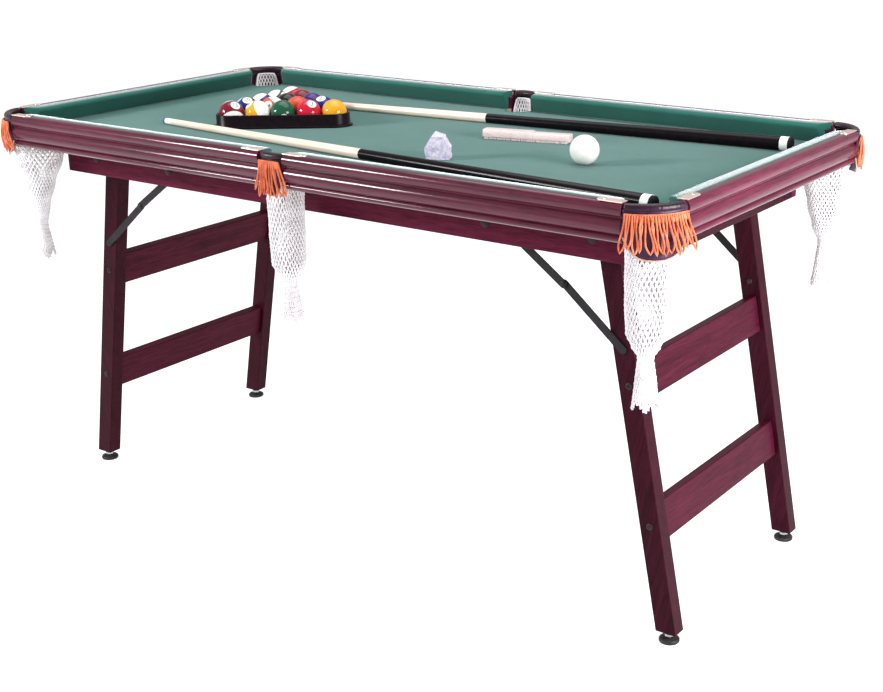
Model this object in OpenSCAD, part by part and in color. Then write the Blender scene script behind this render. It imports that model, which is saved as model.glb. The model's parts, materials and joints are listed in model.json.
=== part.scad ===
// Folding mini pool table on two hinged leg frames, with its loose game set.
// Origin: centre of the table on the surface it stands on. +X runs along the table,
// the front long side faces -Y, and +Z is up. All sizes are in millimetres.

/* [Table top] */
// Overall length of the wooden rails
table_l = 1524; // [1400:4:1650]
// Overall width of the wooden rails
table_w = 794; // [760:2:860]
// Height of the top of the rails above the floor
table_h = 790; // [760:5:820]
// Height of the moulded rail
rail_h = 60; // [56:1:66]
// Width of the bare wooden strip along the top of each rail
wood_strip = 18; // [16:1:20]
// Width of the cloth-covered cushion, from the wooden strip to its nose
cushion_w = 30; // [28:1:34]
// Height of the cushion nose above the cloth
nose_h = 28; // [26:1:30]
// Thickness of the bed board
bed_t = 14; // [12:1:16]
// Thickness of the cloth on the bed
cloth_t = 1.2; // [0.8:0.2:2]

/* [Pockets] */
// How far the rails are cut back from each corner
corner_cut = 74; // [70:1:78]
// Half of the gap between two rails at a middle pocket
middle_gap = 28; // [27:1:30]
// Distance from both outer edges to the centre of a corner pocket
corner_inset = 57; // [55:1:59]
// Radius of the hole of a corner pocket
corner_r = 34; // [32:1:35]
// Distance from the outer edge to the centre of a middle pocket
middle_inset = 41; // [40:1:43]
// Radius of the hole of a middle pocket
middle_r = 29; // [27:1:30]
// Radius of the padded leather roll round the mouth
roll_r = 7; // [6:0.5:8]
// How far the leather skirt hangs below the centre of the roll
skirt_drop = 72; // [60:1:80]
// Length of the thong fringe
fringe_l = 72; // [60:1:80]

/* [Nets] */
// Height of the gathered neck that closes a net
net_neck_z = 545; // [520:5:580]
// Height of the lowest end of a net's tail
net_tail_z = 460; // [440:5:500]
// Radius of a net just below the bed
net_r = 32; // [30:1:33]
// Thickness of a net's wall
net_wall = 1.2; // [1:0.2:2]

/* [Apron] */
// Length of the apron box under the bed
apron_l = 1328; // [1300:2:1350]
// Width of the apron box
apron_w = 578; // [570:2:588]
// Height of the apron boards
apron_h = 73; // [68:1:78]
// Thickness of the apron boards
apron_t = 18; // [16:1:19]

/* [Legs] */
// Splay of each leg frame away from upright, in degrees
splay = 10.9; // [8:0.1:11.5]
// Distance from the middle of the table to a leg hinge
hinge_x = 577; // [570:1:590]
// Height of the leg hinges
hinge_z = 699; // [697:1:701]
// Width of a leg post, along the table
post_x = 38; // [34:1:40]
// Thickness of a leg post, across the table
post_y = 30; // [26:1:32]
// Distance between the outer faces of the two posts of a frame
frame_w = 496; // [490:1:500]
// Height at which the posts are cut off level
post_end_z = 20; // [18:1:24]
// Height of the crossbars
bar_h = 68; // [50:1:75]
// Thickness of the crossbars
bar_t = 20; // [16:1:24]
// Height of the middle of the upper crossbar
upper_bar_z = 451; // [420:1:460]
// Height of the middle of the lower crossbar
lower_bar_z = 211; // [180:1:230]

/* [Stays] */
// Distance from the middle of the table to a stay's bolt in the apron
stay_x = 372; // [366:1:376]
// Height of a stay's bolt in the apron
stay_z = 697; // [694:1:700]
// Height of a stay's pin in the leg
stay_pin_z = 512; // [506:1:518]
// Distance from the middle of the table to a stay's elbow while the leg is open
elbow_x = 502; // [490:1:510]
// Height of a stay's elbow while the leg is open
elbow_z = 605; // [598:1:612]
// Width of the arms
arm_w = 14; // [12:1:16]
// Thickness of the arms
arm_t = 3; // [2.5:0.25:3]

/* [Levellers] */
// Diameter of a leveller's foot
foot_d = 36; // [30:1:40]
// Height of a leveller's foot
foot_h = 9; // [7:1:11]
// Diameter of a leveller's stem
stem_d = 10; // [8:1:12]

/* [Game set] */
// Diameter of the fifteen object balls
ball_d = 50.8; // [50:0.1:51]
// Diameter of the cue ball
cue_ball_d = 52.4; // [50:0.1:54]
// Length of a cue
cue_l = 1210; // [1150:1:1220]
// Radius of a cue at its tip
cue_tip_r = 6; // [5:0.5:7]
// Radius of a cue at its butt
cue_butt_r = 13; // [12:0.5:14]
// Height of the triangle rack
rack_h = 26; // [22:1:30]
// Side of a chalk cube
chalk = 20; // [19:1:24]

/* [Hidden] */
$fn = 64;

wood = "#5a1a28";
cloth_green = "#3f8f74";
leather = "#2c1a24";
thong = "#f08540";
brass = "#d8b08c";
steel = "#202024";

// Levels of the bed and the cushions
apron_z = hinge_z - 33;
bed_z = apron_z + apron_h;
cloth_z = bed_z + bed_t;
play_z = cloth_z + cloth_t;
rail_z = table_h - rail_h;
seat_z = table_h - 14;
nose_z = play_z + nose_h;

// Distances inward from the outer face of a rail
rail_d = 28;
bed_d = 24;
nose_d = wood_strip + cushion_w;

// Reeds on the outer face: radius and height of the middle of each
reed_recess = 7;
upper_reed_r = 12.1;
upper_reed_z = table_h - 11;
lower_reed_r = 15.6;
lower_reed_z = table_h - 36;
lip_r = 5.1;
lip_z = table_h - 54;

// Where the cushion noses stop at the pockets
corner_nose_cut = corner_inset + corner_r + 3;
middle_nose_gap = middle_gap + 8;

// Arc of the leather roll at a corner: ends on the rails, bulging outward
roll_d = 8;
roll_z = table_h - roll_r + 1;
corner_sag = 17;
corner_half_chord = (corner_cut - roll_d) / sqrt(2);
corner_roll_r = (corner_half_chord ^ 2 + corner_sag ^ 2) / (2 * corner_sag);
corner_arc_inset = (corner_cut + roll_d) / 2 + (corner_roll_r - corner_sag) / sqrt(2);
corner_arc_a = 78;

// Arc of the leather roll at a middle pocket
middle_sag = 9;
middle_roll_r = (middle_gap ^ 2 + middle_sag ^ 2) / (2 * middle_sag);
middle_arc_inset = middle_roll_r - middle_sag + 14;
middle_arc_a = 60;
middle_skirt_a = 60;

// Leather skirt and fringe
skirt_t = 3;
skirt_out = 6.4;
fringe_t = 4;
fringe_top = table_h - 12;
corner_fringe_a = 112;
middle_fringe_top = 60;
middle_fringe_foot = 90;

// Gold plates
plate_l = 46;
plate_w = 18;
plate_t = 1.5;
plate_d = 13;
plate_hole = 34;
plate_screw_r = 1.6;
plate_head_r = 3.6;

// Net profile below the bed
net_top_z = bed_z - 1;
net_mouth_z = rail_z - 2;
net_bag_z = net_neck_z + 95;
net_floor_z = net_neck_z + 32;
net_neck_r = 10;
net_tail_r = 20;

// Layers between the apron and the posts, measured from the middle plane
apron_in = apron_w / 2 - apron_t;
post_out = frame_w / 2;
lower_arm_y = post_out + 0.5;
upper_arm_y = lower_arm_y + arm_t + 0.5;
bolt_r = 4;
bolt_head_r = 8;
pin_r = 3;
fit = 0.05;
arm_gap = 0.4;

// Each arm's length and slope while the leg is open
stay_pin_x = hinge_x + (hinge_z - stay_pin_z) * tan(splay);
upper_arm_l = norm([elbow_x - stay_x, stay_z - elbow_z]);
upper_arm_a = atan((stay_z - elbow_z) / (elbow_x - stay_x));
lower_arm_l = norm([stay_pin_x - elbow_x, elbow_z - stay_pin_z]);
lower_arm_a = atan((elbow_z - stay_pin_z) / (stay_pin_x - elbow_x));

// Feet
foot_x = hinge_x + (hinge_z - post_end_z) * tan(splay);
foot_y = post_out - post_y / 2;
stem_in = 28;

// Game set, lying just clear of the cloth
ball_r = ball_d / 2;
set_z = play_z + 0.3;
ball_step = ball_d + 0.2;
rack_pos = [-331, 4];
rack_a = 36.6;
rack_gap = 1.4;
rack_corner_step = 12;
rack_t = 4.5;
rack_flange = 5;
rack_flange_h = 4;
cue_ball_pos = [412, -46];
front_cue_butt = [684, -284];
front_cue_a = 6.1;
back_cue_butt = [666, 255];
back_cue_a = -5;
brush_pos = [205, 86];
brush_size = [174, 30, 18];
brush_a = 12.8;
chalk_pos = [166, -140];
chalk_a = 24;

// ---------------------------------------------------------------- helpers

// Repeats the front right quarter's shape on the chosen side
module on_side(sx, sy) {
    mirror([sx < 0 ? 1 : 0, 0, 0])
        mirror([0, sy > 0 ? 1 : 0, 0])
            children();
}

// A cylinder along Y, from y0 to y1
module rod_y(r, y0, y1) {
    translate([0, y1, 0])
        rotate([90, 0, 0])
            cylinder(r = r, h = y1 - y0);
}

// A prism along X from x0 to x1, of a profile drawn inward and up from the outer face at -Y
module front_prism(x0, x1, half_w) {
    translate([x0, -half_w, 0])
        rotate([90, 0, 90])
            linear_extrude(x1 - x0)
                children();
}

// ---------------------------------------------------------------- bed

// Plan of the space over and outside the pockets, cut out of the bed and the cloth
module pocket_plan() {
    for (sx = [-1, 1]) {
        for (sy = [-1, 1]) {
            on_side(sx, sy)
                translate([table_l / 2 - corner_inset, corner_inset - table_w / 2]) {
                    circle(corner_r);
                    rotate(-45)
                        translate([0, 1 - corner_r])
                            square([2 * corner_inset, 2 * corner_r - 2]);
                }
        }
    }
    for (sy = [-1, 1]) {
        on_side(1, sy)
            translate([0, middle_inset - table_w / 2]) {
                circle(middle_r);
                translate([1 - middle_r, -middle_inset])
                    square([2 * middle_r - 2, middle_inset]);
            }
    }
}

module bed_sheet(inset, z, t) {
    translate([0, 0, z])
        linear_extrude(t)
            difference() {
                square([table_l - 2 * inset, table_w - 2 * inset], center = true);
                pocket_plan();
            }
}

module bed_board() {
    color("#b99a72")
        bed_sheet(bed_d, bed_z, bed_t);
}

module bed_cloth() {
    color(cloth_green)
        bed_sheet(rail_d + 1, cloth_z, cloth_t);
}

// ---------------------------------------------------------------- rails and cushions

module rail_profile() {
    difference() {
        intersection() {
            union() {
                translate([reed_recess, rail_z])
                    square([rail_d - reed_recess, rail_h]);
                translate([upper_reed_r, upper_reed_z])
                    circle(upper_reed_r);
                translate([lower_reed_r, lower_reed_z])
                    circle(lower_reed_r);
                translate([lip_r + 3, lip_z])
                    circle(lip_r);
            }
            translate([0, rail_z])
                square([rail_d, rail_h]);
        }
        translate([wood_strip, seat_z])
            square([rail_d, rail_h]);
        translate([bed_d, 0])
            square([rail_d, play_z + 0.2]);
    }
}

module plate_pilot(x, y) {
    translate([x, y, seat_z])
        cylinder(r = plate_screw_r, h = rail_h);
}

// A rail along X from x0 to x1 whose ends each carry one plate
module rail(x0, x1, half_w) {
    color(wood)
        difference() {
            front_prism(x0, x1, half_w)
                rail_profile();
            plate_pilot(x0 + plate_hole, plate_d - half_w);
            plate_pilot(x1 - plate_hole, plate_d - half_w);
        }
}

module cushion_profile() {
    polygon([
        [wood_strip, seat_z], [wood_strip, table_h - 1], [nose_d - 5, table_h - 2],
        [nose_d, nose_z + 1.5], [nose_d, nose_z - 1.5], [rail_d + 4, play_z],
        [rail_d, play_z], [rail_d, seat_z]
    ]);
}

// A cushion with slanted jaws: b0 and b1 are its ends at the strip, n0 and n1 at the nose
module cushion(b0, b1, n0, n1, half_w) {
    color(cloth_green)
        intersection() {
            front_prism(b0, b1, half_w)
                cushion_profile();
            translate([0, -half_w, play_z - 1])
                linear_extrude(rail_h)
                    polygon([[b0, 0], [b0, wood_strip], [n0, nose_d + 1],
                        [n1, nose_d + 1], [b1, wood_strip], [b1, 0]]);
        }
}

module long_rail() {
    rail(middle_gap, table_l / 2 - corner_cut, table_w / 2);
}

module end_rail() {
    end = table_w / 2 - corner_cut;
    rotate([0, 0, 90])
        rail(-end, end, table_l / 2);
}

module long_cushion() {
    cushion(middle_gap, table_l / 2 - corner_cut,
        middle_nose_gap, table_l / 2 - corner_nose_cut, table_w / 2);
}

module end_cushion() {
    end = table_w / 2 - corner_cut;
    nose = table_w / 2 - corner_nose_cut;
    rotate([0, 0, 90])
        cushion(-end, end, -nose, nose, table_l / 2);
}

// ---------------------------------------------------------------- apron

module bolt_holes(y0, y1) {
    for (sx = [-1, 1]) {
        translate([sx * hinge_x, 0, hinge_z])
            rod_y(bolt_r + fit, y0, y1);
        translate([sx * stay_x, 0, stay_z])
            rod_y(bolt_r + fit, y0, y1);
    }
}

module long_apron() {
    color(wood)
        difference() {
            translate([-apron_l / 2, -apron_w / 2, apron_z])
                cube([apron_l, apron_t, apron_h]);
            bolt_holes(-apron_w, 0);
        }
}

module end_apron() {
    color(wood)
        translate([apron_l / 2 - apron_t, -apron_in, apron_z])
            cube([apron_t, 2 * apron_in, apron_h]);
}

// ---------------------------------------------------------------- pockets

// Padded roll and hanging skirt, as one leather piece swept round an arc
module leather_sweep(arc_r, roll_a, skirt_r, skirt_a) {
    rotate([0, 0, -roll_a / 2])
        rotate_extrude(angle = roll_a)
            translate([arc_r, roll_z])
                circle(roll_r);
    rotate([0, 0, -skirt_a / 2])
        rotate_extrude(angle = skirt_a)
            translate([skirt_r - skirt_t, roll_z - skirt_drop])
                square([skirt_t, skirt_drop]);
}

module corner_pocket() {
    color(leather)
        translate([table_l / 2 - corner_arc_inset, corner_arc_inset - table_w / 2, 0])
            rotate([0, 0, -45])
                leather_sweep(corner_roll_r, corner_arc_a, corner_roll_r + skirt_out, corner_arc_a);
}

module middle_pocket() {
    color(leather)
        translate([0, middle_arc_inset - table_w / 2, 0])
            rotate([0, 0, -90])
                leather_sweep(middle_roll_r, middle_arc_a, middle_roll_r + 5, middle_skirt_a);
}

// A string bag: open mouth, straight bag, gathered neck and flared tail
module net(mouth_r, inset_x, inset_y) {
    color("white")
        translate([inset_x, inset_y, 0])
            rotate_extrude()
                polygon([
                    [mouth_r, net_top_z], [net_r, net_mouth_z - 8], [net_r - 2, net_bag_z],
                    [net_neck_r + 7, net_neck_z + 30], [net_neck_r, net_neck_z],
                    [net_neck_r + 4, net_neck_z - 25], [net_tail_r, net_tail_z],
                    [0, net_tail_z], [0, net_floor_z],
                    [net_neck_r + 5, net_floor_z + 6], [net_r - 2 - net_wall, net_bag_z + 1],
                    [net_r - net_wall, net_mouth_z - 9], [mouth_r - net_wall, net_top_z]
                ]);
}

module corner_net() {
    net(net_r, table_l / 2 - corner_inset, corner_inset - table_w / 2);
}

module middle_net() {
    net(middle_r - 1.4, 0, middle_inset - table_w / 2);
}

module corner_fringe() {
    inner = corner_roll_r + 9.9;
    translate([table_l / 2 - corner_arc_inset, corner_arc_inset - table_w / 2, fringe_top - fringe_l])
        rotate([0, 0, -45 - corner_fringe_a / 2])
            rotate_extrude(angle = corner_fringe_a)
                translate([inner, 0])
                    square([fringe_t, fringe_l]);
}

module middle_fringe() {
    translate([0, -table_w / 2 - 1.5, fringe_top])
        rotate([90, 0, 0])
            linear_extrude(fringe_t)
                polygon([[-middle_fringe_top / 2, 0], [middle_fringe_top / 2, 0],
                    [middle_fringe_foot / 2, -fringe_l], [-middle_fringe_foot / 2, -fringe_l]]);
}

module pocket_fringes() {
    color(thong)
        for (sy = [-1, 1]) {
            for (sx = [-1, 1]) {
                on_side(sx, sy)
                    corner_fringe();
            }
            on_side(1, sy)
                middle_fringe();
        }
}

// A plate runs inward from the end of a rail to its rounded tip
module plate() {
    difference() {
        linear_extrude(plate_t) {
            translate([plate_w / 2, -plate_w / 2])
                square([plate_l - plate_w / 2, plate_w]);
            translate([plate_w / 2, 0])
                circle(plate_w / 2);
        }
        translate([plate_l - plate_hole, 0, -1])
            cylinder(r = plate_screw_r, h = plate_t + 2);
    }
}

module plate_screw() {
    translate([plate_l - plate_hole, 0, 0]) {
        translate([0, 0, -10])
            cylinder(r = plate_screw_r, h = 10 + plate_t + 0.4);
        translate([0, 0, plate_t])
            cylinder(r = plate_head_r, h = 0.8);
    }
}

// Places its children at all twelve rail ends, on top of the wood
module at_rail_ends() {
    for (sy = [-1, 1]) {
        for (sx = [-1, 1]) {
            on_side(sx, sy) {
                translate([table_l / 2 - corner_cut - plate_l, plate_d - table_w / 2, table_h])
                    children();
                translate([middle_gap + plate_l, plate_d - table_w / 2, table_h])
                    rotate([0, 0, 180])
                        children();
                translate([table_l / 2 - plate_d, corner_cut + plate_l - table_w / 2, table_h])
                    rotate([0, 0, -90])
                        children();
            }
        }
    }
}

module pocket_plates() {
    color(brass)
        at_rail_ends()
            plate();
}

module plate_screws() {
    color("silver")
        at_rail_ends()
            plate_screw();
}

// ---------------------------------------------------------------- leg hinges

module apron_bolt(inner_y, nut_y, nut_t) {
    rod_y(bolt_r, -apron_w / 2, -inner_y);
    rod_y(bolt_head_r, -apron_w / 2 - 3, -apron_w / 2);
    rod_y(bolt_head_r - 1.5, -nut_y - nut_t, -nut_y);
}

module apron_bolts() {
    color(steel)
        for (sx = [-1, 1]) {
            for (sy = [-1, 1]) {
                on_side(sx, sy) {
                    translate([hinge_x, 0, hinge_z])
                        apron_bolt(post_out - post_y - 7, post_out - post_y - 6, 5.5);
                    translate([stay_x, 0, stay_z])
                        apron_bolt(post_out + 0.6, post_out + 0.7, arm_t);
                }
            }
        }
}

module spacer(inner_y) {
    difference() {
        rod_y(bolt_r + 4, -apron_in, -inner_y);
        rod_y(bolt_r + fit, -apron_w, 0);
    }
}

module pivot_spacers() {
    color("gray")
        for (sx = [-1, 1]) {
            for (sy = [-1, 1]) {
                on_side(sx, sy) {
                    translate([hinge_x, 0, hinge_z])
                        spacer(post_out + 0.5);
                    translate([stay_x, 0, stay_z])
                        spacer(upper_arm_y + arm_t + arm_gap);
                }
            }
        }
}

// ---------------------------------------------------------------- leg frames

// Height along the table of a point on the centre line of a leg
function leg_x(z) = hinge_x + (hinge_z - z) * tan(splay);

module leg_post() {
    color(wood)
        difference() {
            translate([hinge_x, -post_out, hinge_z])
                rotate([0, -splay, 0]) {
                    rod_y(post_x / 2, 0, post_y);
                    translate([-post_x / 2, 0, -hinge_z])
                        cube([post_x, post_y, hinge_z]);
                }
            translate([0, -table_w, post_end_z - table_h])
                cube([table_l, 2 * table_w, table_h]);
            translate([hinge_x, 0, hinge_z])
                rod_y(bolt_r + fit, -post_out - 1, 0);
            translate([stay_pin_x, 0, stay_pin_z])
                rod_y(pin_r + fit, -post_out - 1, 0);
            translate([foot_x, -foot_y, 0])
                cylinder(r = stem_d / 2 + fit, h = post_end_z + stem_in + 2);
            for (z = [upper_bar_z, lower_bar_z]) {
                translate([leg_x(z), 0, z])
                    rod_y(pin_r + fit, -post_out - 1, 0);
            }
        }
}

module crossbar(z) {
    inner = 2 * (post_out - post_y);
    color(wood)
        difference() {
            translate([leg_x(z), 0, z])
                rotate([0, -splay, 0])
                    cube([bar_t, inner, bar_h], center = true);
            for (sy = [-1, 1]) {
                on_side(1, sy)
                    translate([leg_x(z), 0, z])
                        rod_y(pin_r + fit, -post_out, 40 - post_out);
            }
        }
}

// Screws through the posts into the crossbars, and the pins of the stays
module leg_fasteners() {
    color(steel)
        for (sy = [-1, 1]) {
            on_side(1, sy) {
                for (z = [upper_bar_z, lower_bar_z]) {
                    translate([leg_x(z), 0, z]) {
                        rod_y(pin_r, -post_out, 50 - post_out - post_y / 2);
                        rod_y(2 * pin_r, -post_out - 2, -post_out);
                    }
                }
                translate([stay_pin_x, 0, stay_pin_z]) {
                    rod_y(pin_r, -lower_arm_y - arm_t, post_y - post_out);
                    rod_y(2 * pin_r, post_y - post_out, post_y - post_out + 3);
                }
            }
        }
}

// ---------------------------------------------------------------- stays

// A flat arm along +X with an eye of radius eye_r at its start
module arm(l, eye_r) {
    difference() {
        union() {
            rod_y(arm_w / 2, 0, arm_t);
            translate([l, 0, 0])
                rod_y(arm_w / 2, 0, arm_t);
            translate([0, 0, -arm_w / 2])
                cube([l, arm_t, arm_w]);
        }
        rod_y(eye_r + fit, -1, arm_t + 1);
    }
}

module upper_stays() {
    color(steel)
        for (sy = [-1, 1]) {
            on_side(1, sy)
                translate([stay_x, -upper_arm_y - arm_t, stay_z])
                    rotate([0, upper_arm_a, 0]) {
                        arm(upper_arm_l, bolt_r);
                        translate([upper_arm_l, 0, 0])
                            rod_y(2 * pin_r, -2.5, 0);
                    }
        }
}

module lower_stays() {
    color(steel)
        for (sy = [-1, 1]) {
            on_side(1, sy)
                translate([stay_pin_x, -lower_arm_y - arm_t, stay_pin_z])
                    rotate([0, 180 + lower_arm_a, 0])
                        difference() {
                            arm(lower_arm_l, pin_r);
                            translate([lower_arm_l, 0, 0])
                                rod_y(pin_r, -1, arm_t + 1);
                        }
        }
}

// ---------------------------------------------------------------- levellers

module leveller() {
    color(steel)
        translate([foot_x, -foot_y, 0]) {
            cylinder(d = foot_d, h = foot_h - 3);
            translate([0, 0, foot_h - 3])
                cylinder(d1 = foot_d, d2 = foot_d - 8, h = 3);
            translate([0, 0, foot_h])
                cylinder(d = stem_d, h = post_end_z + stem_in - foot_h);
        }
}

// ---------------------------------------------------------------- game set

// Triangle whose corners curve at radius r about the middles of the corner balls
module rack_outline(r) {
    reach = 4 * ball_step / sqrt(3);
    polygon([for (a = [90, 210, 330], turn = [-60:rack_corner_step:60])
        reach * [cos(a), sin(a)] + r * [cos(a + turn), sin(a + turn)]]);
}

module ball_rack() {
    inner = ball_r + rack_gap;
    color("#151518")
        translate([rack_pos[0], rack_pos[1], set_z])
            rotate([0, 0, rack_a]) {
                linear_extrude(rack_h)
                    difference() {
                        rack_outline(inner + rack_t);
                        rack_outline(inner);
                    }
                linear_extrude(rack_flange_h)
                    difference() {
                        rack_outline(inner + rack_t + rack_flange);
                        rack_outline(inner + rack_t - 1);
                    }
            }
}

module object_balls() {
    color("#c8281e")
        translate([rack_pos[0], rack_pos[1], set_z + ball_r])
            rotate([0, 0, rack_a])
                for (row = [0:4], i = [0:4 - row]) {
                    translate([(i - (4 - row) / 2) * ball_step,
                        (row * sqrt(3) / 2 - 2 / sqrt(3)) * ball_step, 0])
                        sphere(ball_r);
                }
}

module cue_ball() {
    color("ivory")
        translate([cue_ball_pos[0], cue_ball_pos[1], set_z + cue_ball_d / 2])
            sphere(cue_ball_d / 2);
}

// A tapered cue lying on the cloth, from its butt towards -X turned by a
module cue(butt, a) {
    tilt = asin((cue_butt_r - cue_tip_r) / cue_l);
    translate([butt[0], butt[1], set_z + cue_butt_r])
        rotate([0, 0, a])
            rotate([0, -90 - tilt, 0]) {
                color("black")
                    cylinder(r1 = cue_butt_r, r2 = (cue_butt_r + cue_tip_r) / 2, h = cue_l / 2);
                color("#f0d8b8")
                    translate([0, 0, cue_l / 2])
                        cylinder(r1 = (cue_butt_r + cue_tip_r) / 2, r2 = cue_tip_r, h = cue_l / 2);
            }
}

module front_cue() {
    cue(front_cue_butt, -front_cue_a);
}

module back_cue() {
    cue(back_cue_butt, -back_cue_a);
}

module table_brush() {
    color("#e8cdb0")
        translate([brush_pos[0], brush_pos[1], set_z + brush_size[2] / 2])
            rotate([0, 0, brush_a])
                cube(brush_size, center = true);
}

module chalk_cubes() {
    color("#8fa6d8")
        translate([chalk_pos[0], chalk_pos[1], set_z])
            rotate([0, 0, chalk_a]) {
                translate([-chalk - 0.3, -chalk / 2, 0])
                    cube(chalk);
                translate([0.3, -chalk / 2, 0])
                    cube(chalk);
                translate([-chalk / 2, -chalk / 2, chalk])
                    cube(chalk);
            }
}

// ---------------------------------------------------------------- nodes

bed_board();
bed_cloth();
on_side(-1, -1) long_cushion();  // cushion_front_left
on_side(1, -1) long_cushion();  // cushion_front_right
on_side(-1, 1) long_cushion();  // cushion_back_left
on_side(1, 1) long_cushion();  // cushion_back_right
on_side(-1, -1) end_cushion();  // cushion_left
on_side(1, -1) end_cushion();  // cushion_right
on_side(-1, -1) long_rail();  // rail_front_left
on_side(1, -1) long_rail();  // rail_front_right
on_side(-1, 1) long_rail();  // rail_back_left
on_side(1, 1) long_rail();  // rail_back_right
on_side(-1, -1) end_rail();  // rail_left
on_side(1, -1) end_rail();  // rail_right
on_side(1, -1) long_apron();  // apron_front
on_side(1, 1) long_apron();  // apron_back
on_side(-1, -1) end_apron();  // apron_left
on_side(1, -1) end_apron();  // apron_right
on_side(-1, -1) corner_pocket();  // pocket_front_left
on_side(1, -1) middle_pocket();  // pocket_front_middle
on_side(1, -1) corner_pocket();  // pocket_front_right
on_side(-1, 1) corner_pocket();  // pocket_back_left
on_side(1, 1) middle_pocket();  // pocket_back_middle
on_side(1, 1) corner_pocket();  // pocket_back_right
on_side(-1, -1) corner_net();  // net_front_left
on_side(1, -1) middle_net();  // net_front_middle
on_side(1, -1) corner_net();  // net_front_right
on_side(-1, 1) corner_net();  // net_back_left
on_side(1, 1) middle_net();  // net_back_middle
on_side(1, 1) corner_net();  // net_back_right
pocket_fringes();
pocket_plates();
plate_screws();
apron_bolts();
pivot_spacers();
on_side(-1, -1) leg_post();  // left_leg_front_post
on_side(-1, 1) leg_post();  // left_leg_back_post
on_side(-1, -1) crossbar(upper_bar_z);  // left_upper_crossbar
on_side(-1, -1) crossbar(lower_bar_z);  // left_lower_crossbar
on_side(-1, -1) leg_fasteners();  // left_leg_fasteners
on_side(1, -1) leg_post();  // right_leg_front_post
on_side(1, 1) leg_post();  // right_leg_back_post
on_side(1, -1) crossbar(upper_bar_z);  // right_upper_crossbar
on_side(1, -1) crossbar(lower_bar_z);  // right_lower_crossbar
on_side(1, -1) leg_fasteners();  // right_leg_fasteners
on_side(-1, -1) upper_stays();  // left_upper_stays
on_side(-1, -1) lower_stays();  // left_lower_stays
on_side(1, -1) upper_stays();  // right_upper_stays
on_side(1, -1) lower_stays();  // right_lower_stays
on_side(-1, -1) leveller();  // leveller_front_left
on_side(-1, 1) leveller();  // leveller_back_left
on_side(1, -1) leveller();  // leveller_front_right
on_side(1, 1) leveller();  // leveller_back_right
ball_rack();
object_balls();
cue_ball();
front_cue();
back_cue();
table_brush();
chalk_cubes();
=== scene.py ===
"""Looks of the folding mini pool table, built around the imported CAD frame.

Lengths are in millimetres, in the frame of the CAD model, and become metres when a piece is made.
Shapes that repeat are drawn once for the front right quarter and mirrored to the other sides.
"""

import json
import math
import random

import bmesh
import bpy
from mathutils import Matrix, Vector, noise


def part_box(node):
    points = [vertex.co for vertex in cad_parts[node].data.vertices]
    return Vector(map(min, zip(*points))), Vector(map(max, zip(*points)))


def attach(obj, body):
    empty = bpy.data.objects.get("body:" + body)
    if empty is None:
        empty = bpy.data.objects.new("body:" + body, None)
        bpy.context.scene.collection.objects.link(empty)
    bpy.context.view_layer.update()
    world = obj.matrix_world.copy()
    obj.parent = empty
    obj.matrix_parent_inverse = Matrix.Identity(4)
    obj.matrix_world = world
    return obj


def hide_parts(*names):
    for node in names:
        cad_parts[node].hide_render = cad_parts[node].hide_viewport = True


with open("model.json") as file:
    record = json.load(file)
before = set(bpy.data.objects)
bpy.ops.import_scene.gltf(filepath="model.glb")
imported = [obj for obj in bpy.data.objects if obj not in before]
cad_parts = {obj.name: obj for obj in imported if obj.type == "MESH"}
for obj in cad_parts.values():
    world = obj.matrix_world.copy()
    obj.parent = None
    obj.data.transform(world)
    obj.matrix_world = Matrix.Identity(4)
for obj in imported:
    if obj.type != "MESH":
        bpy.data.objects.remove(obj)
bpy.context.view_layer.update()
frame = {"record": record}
scene = bpy.context.scene

MM = 0.001
ENDS = {"left": -1, "right": 1}
SIDES = {"front": -1, "back": 1}

RECORD = frame["record"]
BODY_OF = {node: body for body, nodes in RECORD["behaviour"]["bodies"].items() for node in nodes}
JOINTS = {joint["name"]: joint for joint in RECORD["behaviour"]["joints"]}


def node_box(node):
    low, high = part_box(node)
    return low / MM, high / MM


# ---------------------------------------------------------------- driving sizes, from the frame

# Pivots at the right
HINGE = Vector(JOINTS["right_leg_fold"]["pos_m"]) / MM
STAY = Vector(JOINTS["right_upper_stay_turn"]["pos_m"]) / MM
PIN = Vector(JOINTS["right_lower_stay_turn"]["pos_m"]) / MM
LEAN = math.atan2(PIN.x - HINGE.x, HINGE.z - PIN.z)

END_RAIL = node_box("rail_right")
LONG_RAIL = node_box("rail_front_right")
HALF_L, TOP = END_RAIL[1].x, END_RAIL[1].z
RAIL_Z = END_RAIL[0].z
HALF_W = -LONG_RAIL[0].y
MIDDLE_GAP = LONG_RAIL[0].x
CORNER_CUT = HALF_L - LONG_RAIL[1].x
BED_Z = node_box("bed_board")[0].z
PLAY_Z = node_box("bed_cloth")[1].z
SET_Z = node_box("cue_ball")[0].z
APRON_Y = -node_box("apron_front")[0].y
APRON_IN_Y = -node_box("apron_front")[1].y
POST_OUT = -node_box("right_leg_front_post")[0].y

# Distances inward from a rail's outer face
WOOD_STRIP = 18
RAIL_D = 28
BED_D = 24
NOSE_D = 48
SEAT_Z = TOP - 14

# Pockets
CORNER_INSET = 57
CORNER_R = 34
MIDDLE_INSET = 41
MIDDLE_R = 29
CORNER_NOSE_CUT = 94
MIDDLE_NOSE_GAP = 36
ROLL_Z = TOP - 6
ROLL_R = 7
CORNER_ARC_R = 72.56
CORNER_ARC_INSET = 80.29
CORNER_ARC_A = 39
MIDDLE_ARC_R = 48.06
MIDDLE_ARC_INSET = 53.06
MIDDLE_ARC_A = 30

# Legs and stays
POST_X = 38
POST_Y = 30
POST_END_Z = 20
BAR_H = 68
BAR_T = 20
ARM_W = 14
ARM_T = 3
ARM_GAP = 0.5
STAY_BOX = node_box("right_upper_stays")
ELBOW = Vector((STAY_BOX[1].x - ARM_W / 2, 0, STAY_BOX[0].z + ARM_W / 2))

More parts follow.
